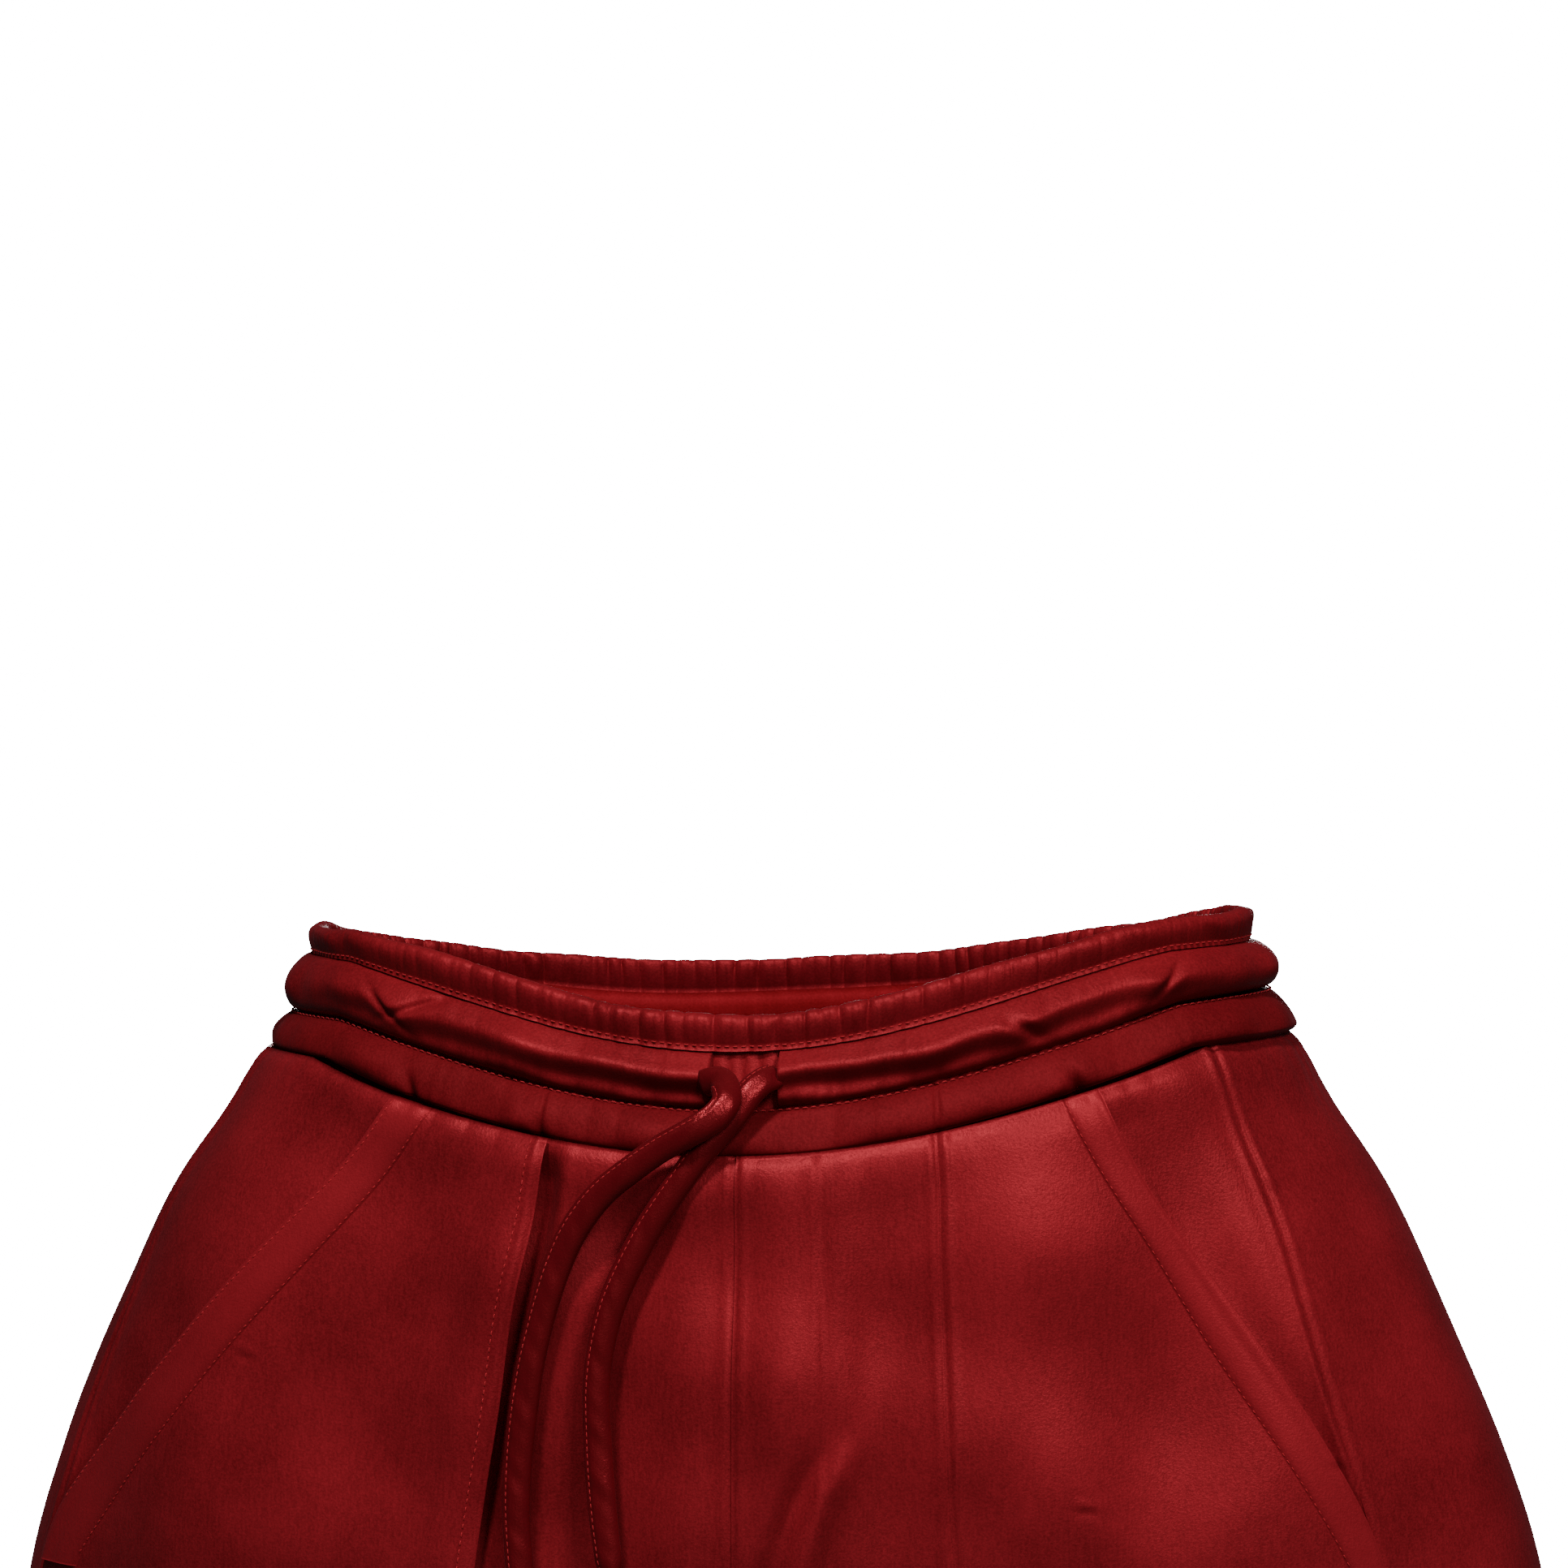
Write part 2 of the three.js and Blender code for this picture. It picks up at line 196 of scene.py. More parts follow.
# the body's half width and half depth, in millimetres, at shares of the whole drop
widthSteps = [
    (0.0, 179.2), (0.017, 186.1), (0.079, 202.4), (0.143, 217.8), (0.207, 229.8),
    (0.272, 241.0), (0.336, 252.1), (0.42, 265.0), (0.54, 275.5), (0.69, 283.8), (1.0, 290.0),
]
depthSteps = [
    (0.0, 94.2), (0.12, 101.0), (0.25, 104.0), (0.42, 106.0), (0.6, 101.0), (0.76, 90.5), (1.0, 75.0),
]


def blurred(points, at, reach, low=-math.inf, high=math.inf):
    # the line through the points, evened out, so no corner shows where two of its pieces meet
    parts = [along(points, np.clip(at + k * reach, low, high)) for k in (-1, -0.5, 0, 0.5, 1)]
    return (parts[0] + 2 * parts[1] + 2 * parts[2] + 2 * parts[3] + parts[4]) / 8


def softSteps(steps, share):
    return blurred(steps, share, 0.035, 0, 1)


def dipAt(level, across, frontness):
    # frontness is 1 at the centre front and -1 at the centre back
    level = np.asarray(level)
    back = smooth(-frontness, -0.25, 0.25)
    width = mix(0.86, 0.95, back)
    reach = np.clip(np.cos(math.pi * np.minimum(np.abs(across), 1) / (2 * width)), 1e-6, 1)
    front = level[..., 1] * reach ** level[..., 4]
    return mix(front, level[..., 2] * reach ** level[..., 5], back)


# how much higher each level runs at the wearer's right and left side, in millimetres
sideRise = np.array([[0.0, 0.0], [2.0, 0.8], [2.0, 3.8], [3.4, 2.8]])


def sideLift(level, across):
    i = np.clip(np.floor(level).astype(int), 0, 2)
    column = (across > 0).astype(int)
    return mix(sideRise[i, column], sideRise[i + 1, column], level - i) * smooth(np.abs(across), 0.7, 1)


def bandPoint(angle, level, out):
    # Angle 0 is the wearer's left side and 90 the back; level 0 is the rim and 3 the body seam
    angle, level, out = np.broadcast_arrays(angle, level, out)
    i = np.clip(np.floor(level).astype(int), 0, 2)
    part = level - i
    upper, lower = bandLevels[i], bandLevels[i + 1]
    across, frontness = np.cos(angle), -np.sin(angle)
    rise = mix(upper[..., 0], lower[..., 0], part)
    dip = mix(dipAt(upper, across, frontness), dipAt(lower, across, frontness), part)
    away = mix(upper[..., 3], lower[..., 3], part) + out
    a, b = form["rimHalfWidth"], form["rimHalfDepth"]
    facing = np.stack([b * across, a * np.sin(angle)], -1)
    facing = facing / np.linalg.norm(facing, axis=-1, keepdims=True)
    x = a * across + away * facing[..., 0]
    y = b * np.sin(angle) + away * facing[..., 1]
    sag = form["backSag"] * smooth(-frontness, 0.02, 0.35) * smooth(-x, -10, 80)
    return np.stack([x, y, rise - dip - sag + sideLift(level, across) + form["lean"] * x], -1)


legForm = dict(startDrop=195, endDrop=330, gap=6, startAngle=-50, sweep=280)


def legShare(drop):
    return smooth(drop, legForm["startDrop"], legForm["endDrop"])


def middleGap(drop):
    return mix(0.2, legForm["gap"], smooth(drop, 190, 300))


def legPoint(turn, halfWidth, halfDepth):
    angle = np.radians(legForm["startAngle"] + legForm["sweep"] * turn)
    middle = (halfWidth + legForm["gap"]) / 2
    return middle + (middle - legForm["gap"]) * np.sin(angle), -halfDepth * np.cos(angle)


def outerPoint(side, turn, drop):
    # One side's outer cloth: turn 0 at the centre front and 1 at the centre back, drop below the band
    share = drop / form["fullDrop"]
    halfWidth, halfDepth = softSteps(widthSteps, share), softSteps(depthSteps, share)
    gap, across = middleGap(drop), np.sin(math.pi * turn)
    x = gap + (halfWidth - gap) * across
    y = -halfDepth * np.cos(math.pi * turn)
    legX, legY = legPoint(turn, halfWidth, halfDepth)
    k = legShare(drop)
    x, y = side * mix(x, legX, k), mix(y, legY, k)
    fade = np.clip(1 - drop / 200, 0, 1)
    fade = fade * fade * (3 - 2 * fade)
    z = bandLevels[3][0] - drop - dipAt(bandLevels[3], across, np.cos(math.pi * turn)) * fade
    z = z + sideLift(np.full_like(z, 3.0), side * across) * fade
    return np.stack([x, y, z + form["lean"] * x * fade], -1)


def innerPoint(side, turn, drop):
    # One side's inner thigh: turn 0 at the centre back and 1 at the centre front
    share = drop / form["fullDrop"]
    halfWidth, halfDepth = softSteps(widthSteps, share), softSteps(depthSteps, share)
    sweep = legForm["sweep"]
    legX, legY = legPoint(1 + turn * (360 - sweep) / sweep, halfWidth, halfDepth)
    k = legShare(drop)
    x = mix(middleGap(drop), legX, k)
    y = mix(halfDepth * (1 - 2 * turn), legY, k)
    return np.stack([side * x, y, bandLevels[3][0] - drop + 0 * x], -1)


# seams as turns round one side at drops below the band
seams = {
    "right": dict(
        princess=[(0, 0.117), (30, 0.1115), (77, 0.1115), (102, 0.1095), (146, 0.1103), (405, 0.106)],
        mouth=[(-6, 0.229), (0, 0.231), (30, 0.248), (63, 0.276), (98, 0.312), (132, 0.355), (165, 0.41),
               (405, 0.41)],
        stitched=[(-6, 0.196), (0, 0.199), (32, 0.219), (64, 0.242), (97, 0.271), (130, 0.301),
                  (165, 0.345), (185, 0.372)],
        sideSeam=[(0, 0.436), (60, 0.431), (120, 0.418), (165, 0.412), (405, 0.4)],
    ),
    "left": dict(
        princess=[(0, 0.121), (46, 0.106), (91, 0.099), (143, 0.092), (405, 0.088)],
        mouth=[(-6, 0.227), (0, 0.228), (30, 0.231), (62, 0.249), (116, 0.28), (153, 0.298),
               (165, 0.302), (405, 0.305)],
        stitched=[(-6, 0.201), (0, 0.202), (20, 0.205), (51, 0.22), (96, 0.24), (152, 0.27),
                  (165, 0.277), (185, 0.286)],
        sideSeam=[(0, 0.334), (26, 0.321), (44, 0.317), (80, 0.307), (118, 0.302), (165, 0.302),
                  (405, 0.305)],
    ),
}


def softSeam(name, word, drop):
    return blurred(seams[word][name], drop, 16)


# soft folds of the body cloth: a line of (drop, x), the fold's half width and height, and the drops
# between which it rises and then fades, all in millimetres
bodyFolds = [
    ([(0, -74), (60, -86), (140, -97), (260, -108)], 9, 2.4, (-5, 12, 180, 320)),
    ([(0, -30), (60, -42), (150, -50), (280, -58)], 12, -3.4, (0, 30, 190, 330)),
    ([(0, -14), (70, -17), (150, -18), (280, -26)], 11, 2.6, (-5, 20, 190, 330)),
    ([(0, 14), (80, 15), (150, 16)], 11, 2.2, (-5, 20, 120, 220)),
    ([(0, 34), (50, 36), (100, 37), (150, 38)], 7, 1.4, (0, 20, 140, 200)),
    ([(95, 40), (118, 36), (150, 27), (220, 10)], 6, 3.8, (108, 135, 180, 250)),
    ([(95, 30), (118, 28), (150, 18), (220, 0)], 5, -3.0, (108, 138, 180, 250)),
    ([(0, 50), (80, 50), (150, 54), (280, 70)], 15, -1.8, (0, 40, 190, 320)),
    ([(0, 92), (60, 96), (150, 110), (300, 130)], 22, 3.0, (0, 30, 200, 360)),
    ([(20, 150), (80, 150), (150, 150), (300, 180)], 20, -2.6, (0, 50, 200, 360)),
    ([(0, -118), (60, -112), (150, -128), (300, -150)], 22, -3.0, (0, 40, 200, 360)),
    ([(0, -150), (60, -170), (150, -190), (300, -205)], 26, 3.0, (0, 40, 200, 360)),
    ([(0, 176), (60, 205), (150, 228), (300, 240)], 18, -2.6, (0, 30, 200, 360)),
    ([(40, -215), (120, -232), (300, -240)], 20, -2.4, (30, 90, 200, 360)),
]
backFolds = [
    ([(0, -40), (150, -48), (320, -70)], 18, 3.4, (0, 40, 230, 380)),
    ([(0, -86), (150, -110), (320, -128)], 20, -3.2, (0, 50, 230, 380)),
    ([(0, 34), (150, 44), (320, 62)], 16, 3.0, (0, 40, 230, 380)),
    ([(0, 88), (150, 104), (320, 140)], 22, -3.4, (0, 50, 230, 380)),
    ([(0, -140), (150, -180), (320, -200)], 24, 3.2, (10, 60, 230, 380)),
    ([(0, 136), (150, 172), (320, 190)], 24, 2.8, (10, 60, 230, 380)),
    ([(60, 6), (160, -10), (300, -30)], 10, 2.4, (50, 120, 210, 330)),
]

# the centre front is doubled on the wearer's left, and stands up as a narrow strip
flyStrip = dict(line=[(0, 27), (50, 29), (100, 30), (150, 31), (405, 33)], thick=1.1, ends=(190, 250))

# short pinched marks in the cloth: x, drop, half length, depth
pinchMarks = [(118, 145, 3.4, 1.1), (-171, 98, 3.0, 1.0), (180, 47, 3.0, 0.8), (200, 137, 3.0, 0.8)]


def foldRelief(folds, x, drop):
    total = np.zeros_like(x)
    for line, width, height, (first, second, third, last) in folds:
        fade = smooth(drop, first, second) * (1 - smooth(drop, third, last))
        total += height * bell(np.abs(x - along(line, drop)), width) * fade
    return total


topGathers = dict(pitch=(8, 19), size=0.8, reach=22, seed=11)
seamRoll = dict(height=1.8, at=8, width=12, dip=2.4, reach=2.6)  # the cloth rolls over below the band's seam
# how the sides stand out beyond the form, and are drawn in below the band
sideShape = {
    -1: dict(out=4.2, at=88, width=72, drawnIn=2.6),
    1: dict(out=2.4, at=150, width=50, drawnIn=1.6),
}


def bodyRelief(side, turn, drop):
    # How far the body cloth stands off its form, in millimetres
    place = outerPoint(side, turn, drop)
    x = place[..., 0]
    front = smooth(np.cos(math.pi * turn), -0.15, 0.15)
    relief = front * foldRelief(bodyFolds, x, drop) + (1 - front) * foldRelief(backFolds, x, drop)
    flyEdge = along(flyStrip["line"], drop)
    fly = (side > 0) * (1 - smooth(x, flyEdge - 0.9, flyEdge + 0.9)) * (1 - smooth(drop, *flyStrip["ends"]))
    relief += flyStrip["thick"] * fly * front
    for markX, markDrop, halfLength, depth in pinchMarks:
        level = drop - markDrop - 0.25 * (x - markX)
        mark = bell(level, 1.3) - 0.7 * bell(level + 2.6, 1.6)
        relief -= 0.6 * front * depth * bell(x - markX, halfLength) * mark
    ring = side * turn * 500 + 500
    puffs = flutes(ring, 1000, topGathers["seed"], *topGathers["pitch"], crease=1.0)
    strength = 0.45 + 0.4 * np.sin(x / 31 + 1.3) * np.sin(x / 13)
    strength = np.where(turn > 0.5, 0.9, strength)
    below = np.maximum(drop, 0)
    relief += topGathers["size"] * strength * (puffs - 0.5) * np.exp(-below / topGathers["reach"])
    swell = ripple(x + 0.35 * drop, 5, (170, 96, 61), (1.7, 1.2, 0.5))
    swell += ripple(drop - 0.5 * x, 6, (140, 83), (1.4, 0.8))
    sideness = smooth(np.abs(x), 120, 190)
    relief += swell * smooth(drop, 4, 60) * (1 - 0.8 * sideness)
    relief += seamRoll["height"] * bell(drop - seamRoll["at"], seamRoll["width"])
    relief -= seamRoll["dip"] * np.exp(-below / seamRoll["reach"])
    shape = sideShape[side]
    relief += sideness * shape["out"] * bell(drop - shape["at"], shape["width"])
    relief -= sideness * shape["drawnIn"] * bell(drop - 14, 24)
    legs = smooth(drop, 230, 380)
    relief += legs * ripple(x, 8, (74, 47), (1.6, 0.8))
    return relief


def bendWithLeg(piece):
    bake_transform(piece)
    return piece


print("form ready")

# materials


def nodeGroup(name, inputs, outputs):
    group = bpy.data.node_groups.new(name, "ShaderNodeTree")
    for title, kind, value in inputs:
        socket = group.interface.new_socket(name=title, in_out="INPUT", socket_type=kind)
        socket.default_value = value
    for title, kind in outputs:
        group.interface.new_socket(name=title, in_out="OUTPUT", socket_type=kind)
    entry = group.nodes.new("NodeGroupInput")
    leave = group.nodes.new("NodeGroupOutput")
    return group, entry, leave


def addNode(tree, kind, fixed=None, **settings):
    node = tree.nodes.new(kind)
    for key, value in settings.items():
        setattr(node, key, value)
    for socket, value in (fixed or {}).items():
        node.inputs[socket].default_value = value
    return node


def addRange(tree, low, high, **settings):
    return addNode(tree, "ShaderNodeMapRange", {"From Min": low, "From Max": high}, **settings)


knit = dict(
    columnSize=1000.0,
    columnStretch=(1, 1, 0.15),  # columns of loops run up and down the cloth
    columnShare=0.28,
    cloudSize=26.0,
    cloudShare=0.4,
    contrast=(0.35, 0.65),
    # the normal heights at which the painted underside shade starts and is full
    paintedShadeStarts=0.25,
    paintedShadeFull=-0.55,
    roughnessSpread=0.14,
    bumpDistance=0.0002,
)


def makeSatinGroup():
    # Knitted satin: fine loops, soft clouds of darker tone, a normal from both, and painted shade that
    # darkens cloth facing down
    group, entry, leave = nodeGroup(
        "Knitted Satin",
        [
            ("Cloth Color", "NodeSocketColor", (0.3, 0.01, 0.015, 1)),
            # the deep colour serves both the knit's darker tone and the painted underside shade
            ("Grain And Painted Shade Color", "NodeSocketColor", (0.1, 0.002, 0.004, 1)),
            ("Grain Size", "NodeSocketFloat", 1500.0),
            ("Grain Depth", "NodeSocketFloat", 0.3),
            ("Shade Share", "NodeSocketFloat", 0.25),
            # how strongly cloth that faces down is darkened: painted underside shade
            ("Painted Underside Shade Share", "NodeSocketFloat", 0.3),
            ("Roughness", "NodeSocketFloat", 0.45),
        ],
        [("Color", "NodeSocketColor"), ("Roughness", "NodeSocketFloat"), ("Normal", "NodeSocketVector")],
    )
    link = group.links.new
    place = addNode(group, "ShaderNodeTexCoord")
    grain = addNode(group, "ShaderNodeTexNoise", {"Detail": 2.0, "Roughness": 0.7})
    link(place.outputs["Object"], grain.inputs["Vector"])
    link(entry.outputs["Grain Size"], grain.inputs["Scale"])
    stretch = addNode(group, "ShaderNodeMapping", {"Scale": knit["columnStretch"]})
    link(place.outputs["Object"], stretch.inputs["Vector"])
    columns = addNode(group, "ShaderNodeTexNoise", {"Scale": knit["columnSize"], "Detail": 1.0})
    link(stretch.outputs["Vector"], columns.inputs["Vector"])
    clouds = addNode(group, "ShaderNodeTexNoise", {"Scale": knit["cloudSize"], "Detail": 3.0})
    link(place.outputs["Object"], clouds.inputs["Vector"])
    both = addNode(group, "ShaderNodeMix", {"Factor": knit["columnShare"]}, data_type="FLOAT")
    link(grain.outputs["Fac"], both.inputs["A"])
    link(columns.outputs["Fac"], both.inputs["B"])
    speck = addRange(group, *knit["contrast"])
    link(both.outputs["Result"], speck.inputs["Value"])
    cloudy = addRange(group, *knit["contrast"])
    link(clouds.outputs["Fac"], cloudy.inputs["Value"])
    shade = addNode(group, "ShaderNodeMix", {"Factor": knit["cloudShare"]}, data_type="FLOAT")
    link(speck.outputs["Result"], shade.inputs["A"])
    link(cloudy.outputs["Result"], shade.inputs["B"])
    amount = addNode(group, "ShaderNodeMath", operation="MULTIPLY")
    link(shade.outputs["Result"], amount.inputs[0])
    link(entry.outputs["Shade Share"], amount.inputs[1])
    color = addNode(group, "ShaderNodeMix", data_type="RGBA")
    link(amount.outputs["Value"], color.inputs["Factor"])
    link(entry.outputs["Cloth Color"], color.inputs["A"])
    link(entry.outputs["Grain And Painted Shade Color"], color.inputs["B"])
    # painted shade: cloth whose normal faces down is darkened towards the deep colour, standing in for the
    # shade that falls on undersides and the lower halves of the rolls
    facing = addNode(group, "ShaderNodeNewGeometry")
    upright = addNode(group, "ShaderNodeSeparateXYZ")
    link(facing.outputs["Normal"], upright.inputs["Vector"])
    paintedShadeMask = addRange(group, knit["paintedShadeStarts"], knit["paintedShadeFull"], interpolation_type="SMOOTHSTEP")
    link(upright.outputs["Z"], paintedShadeMask.inputs["Value"])
    paintedShadeAmount = addNode(group, "ShaderNodeMath", operation="MULTIPLY")
    link(paintedShadeMask.outputs["Result"], paintedShadeAmount.inputs[0])
    link(entry.outputs["Painted Underside Shade Share"], paintedShadeAmount.inputs[1])
    shadedColor = addNode(group, "ShaderNodeMix", data_type="RGBA")
    link(paintedShadeAmount.outputs["Value"], shadedColor.inputs["Factor"])
    link(color.outputs["Result"], shadedColor.inputs["A"])
    link(entry.outputs["Grain And Painted Shade Color"], shadedColor.inputs["B"])
    link(shadedColor.outputs["Result"], leave.inputs["Color"])
    rough = addNode(group, "ShaderNodeMath", {1: knit["roughnessSpread"]}, operation="MULTIPLY_ADD")
    link(both.outputs["Result"], rough.inputs[0])
    link(entry.outputs["Roughness"], rough.inputs[2])
    link(rough.outputs["Value"], leave.inputs["Roughness"])
    bump = addNode(group, "ShaderNodeBump", {"Distance": knit["bumpDistance"]})
    link(entry.outputs["Grain Depth"], bump.inputs["Strength"])
    link(both.outputs["Result"], bump.inputs["Height"])
    link(bump.outputs["Normal"], leave.inputs["Normal"])
    return group


satinGroup = makeSatinGroup()


def makeCloth(name, look):
    material = bpy.data.materials.new(name)
    material.use_nodes = True
    tree = material.node_tree
    shader = tree.nodes["Principled BSDF"]
    cloth = addNode(tree, "ShaderNodeGroup", node_tree=satinGroup)
    groupValues = {
        "Cloth Color": (*look["color"], 1),
        "Grain And Painted Shade Color": (*look["deep"], 1),
        "Grain Size": look["grainSize"],
        "Grain Depth": look["grainDepth"],
        "Shade Share": look["shade"],
        "Painted Underside Shade Share": look["paintedUndersideShade"],
        "Roughness": look["roughness"],
    }
    shaderValues = {
        "Specular IOR Level": look["specular"],
        "Specular Tint": (*look["shineTint"], 1),
        "Sheen Weight": look["sheen"],
        "Sheen Roughness": 0.35,
        "Sheen Tint": (*look["sheenTint"], 1),
    }
    for node, values in ((cloth, groupValues), (shader, shaderValues)):
        for socket, value in values.items():
            node.inputs[socket].default_value = value
    for socket, target in (("Color", "Base Color"), ("Roughness", "Roughness"), ("Normal", "Normal")):
        tree.links.new(cloth.outputs[socket], shader.inputs[target])
    return material


satinLook = dict(
    color=(0.29, 0.0145, 0.022),
    deep=(0.045, 0.001, 0.0018),
    grainSize=1150.0,
    grainDepth=1.0,
    shade=0.68,
    # how strongly cloth that faces down is darkened: painted underside shade
    paintedUndersideShade=0.45,
    roughness=0.36,
    specular=0.9,
    shineTint=(1.0, 0.09, 0.11),
    sheen=0.05,
    sheenTint=(1.0, 0.3, 0.35),
)
# the band, tier and cord are the same satin as the body: their darker colours are painted shade that tones
# down how bright they show, and they take more painted underside shade
shadedBandLook = dict(satinLook, color=(0.26, 0.012, 0.018), roughness=0.38, specular=0.7, paintedUndersideShade=0.9)
shadedTierLook = dict(shadedBandLook, color=(0.18, 0.008, 0.012), roughness=0.48, specular=0.35)
shadedCordLook = dict(satinLook, color=(0.12, 0.005, 0.008), roughness=0.22, shade=0.35, paintedUndersideShade=0.7)
reverseLook = dict(satinLook, color=(0.27, 0.01, 0.015), deep=(0.09, 0.002, 0.003), roughness=0.55,
                   specular=0.4, shade=0.5)
threadLook = dict(satinLook, color=(0.46, 0.03, 0.038), deep=(0.3, 0.012, 0.016), grainSize=4000.0,
                  roughness=0.4, sheen=0.3)
elasticLook = dict(satinLook, color=(0.03, 0.03, 0.032), deep=(0.01, 0.01, 0.011), roughness=0.8,
                   specular=0.2, shineTint=(1, 1, 1), sheen=0.1, sheenTint=(1, 1, 1))
satinCloth = makeCloth("redSatinKnit", satinLook)
bandCloth = makeCloth("gatheredBandSatinPaintedShade", shadedBandLook)
tierCloth = makeCloth("smoothTierSatinPaintedShade", shadedTierLook)
trimCloth = makeCloth("stitchedTrimSatin", dict(satinLook, shade=0.34))
cordCloth = makeCloth("drawcordSatinPaintedShade", shadedCordLook)
innerCloth = makeCloth("dullClothReverse", reverseLook)
threadCloth = makeCloth("sewingThread", threadLook)
elasticCloth = makeCloth("ribbedElastic", elasticLook)
print("materials ready")

# stitches


threadSize = dict(pitch=2.9, length=1.8, thread=0.42)
threadSides = 6
# how far along one stitch its four rings lie, and how high in thread widths: its ends dip into the cloth
threadSpots = np.array([0.0, 0.2, 0.8, 1.0])
threadHeights = np.array([-0.7, 0.24, 0.24, -0.7])


def stitchRow(points, normals, size):
    # Short rounded threads laid end to end along a line of points
    steps = np.linalg.norm(np.diff(points, axis=0), axis=1)
    travelled = np.concatenate([[0], np.cumsum(steps)])
    radius = size["thread"] / 2
    rings = len(threadSpots)
    vertices, faces = [], []
    for n in range(int(travelled[-1] / size["pitch"])):
        spots = n * size["pitch"] + size["length"] * threadSpots
        line = np.stack([np.interp(spots, travelled, points[:, k]) for k in range(3)], -1)
        normal = np.array([np.interp(spots[1], travelled, normals[:, k]) for k in range(3)])
        normal /= np.linalg.norm(normal) + 1e-9
        direction = line[-1] - line[0]
        direction /= np.linalg.norm(direction) + 1e-9
        sideways = np.cross(direction, normal)
        base = threadSides * rings * n
        for spot, height in zip(line, threadHeights * size["thread"]):
            for k in range(threadSides):
                turn = k * 2 * math.pi / threadSides
                up = normal * (height + radius * math.sin(turn))
                vertices.append(spot + up + sideways * radius * math.cos(turn))
        for ring in range(rings - 1):
            first = base + ring * threadSides
            for k in range(threadSides):
                a, b = first + k, first + (k + 1) % threadSides
                faces.append((a, b, b + threadSides, a + threadSides))
        faces.append((base + 3, base + 2, base + 1, base))
        faces.append((base + 5, base + 4, base + 3, base))
        top = base + threadSides * (rings - 1)
        faces.append((top, top + 1, top + 2, top + 3))
        faces.append((top, top + 3, top + 4, top + 5))
    return np.array(vertices), np.array(faces)


def stitchPiece(name, rows, size):
    vertices, faces, count = [], [], 0
    for points, normals in rows:
        rowVertices, rowFaces = stitchRow(points, normals, size)
        vertices.append(rowVertices)
        faces.append(rowFaces + count)
        count += len(rowVertices)
    piece = makeMesh(name, np.concatenate(vertices), np.concatenate(faces), threadCloth)
    return piece


# waistband

ringLength = 800.0
bandSize = dict(step=0.8, fineStep=0.56, cloth=0.9, lining=0.8)
gathers = dict(frontAt=272, frontWidth=36, front=0.95, back=0.8, least=0.08)  # degrees and shares
headingForm = dict(
    thickness=4.6,
    bulge=1.2,
    flatRight=2.8,  # flatter at the wearer's right
    humps=(21, 3.6, 9.0),  # seed, narrowest and widest
    fineHumps=(22, 2.0, 5.0),
    deep=3.3,
    fineDeep=0.9,
)
tunnelForm = dict(
    bulge=6.2,
    puffDepth=3.0,
    upperPuffs=(31, 4.0, 11.0),
    lowerPuffs=(32, 4.0, 12.0),
    ridgeAt=0.36,
    ridge=1.9,
    hollow=1.6,
    creases=[(221, 0.46, 13), (227, 0.34, -15), (304, 0.5, 8), (327, 0.42, -9)],  # degrees, height, tilt
    creaseDepth=1.8,
    flareLeft=3.2,  # it stands further out at the wearer's left, and its top less far at the right
    flareRight=-1.5,
)
tierForm = dict(
    bulge=3.8,
    puffDepth=2.0,
    puffs=(41, 5.0, 13.0),
    joints=(293.1, 246.5),
    jointDepth=1.4,
    pinches=[(311.2, 2.6), (228.2, 2.4), (246.8, 1.2)],  # degrees and depth, where panel joints meet it
    flareLeft=3.0,  # it stands further out at the wearer's left, most of all low down
    flareLow=2.6,
    flareRight=0.6,
)
facingForm = dict(pleats=(52, 5.0, 14.0), pleatDepth=0.8, behind=5.4, topOut=3.2, drawnIn=7.5)
underForm = dict(pleats=(51, 3.2, 5.6), pleatDepth=1.8, behind=1.6)
elasticForm = dict(ribs=9, ribDepth=0.22, behind=3.4, waves=180, waveDepth=0.25)
hiddenCordForm = dict(top=1.3, height=0.46, out=1.1)


def gatherShare(angle):
    # How strongly the band is gathered: most at the front and back, little at the sides
    front = bell((np.degrees(angle) % 360) - gathers["frontAt"], gathers["frontWidth"])
    back = smooth(np.sin(angle), 0.15, 0.5)
    return np.clip(gathers["least"] + gathers["front"] * front + gathers["back"] * back, 0, 1)


def ringPlace(angle):
    return angle / (2 * math.pi) * ringLength


def arch(v, power):
    # 0 at both edges and 1 halfway; the lower the power, the squarer the shoulders
    return np.sin(math.pi * v) ** power


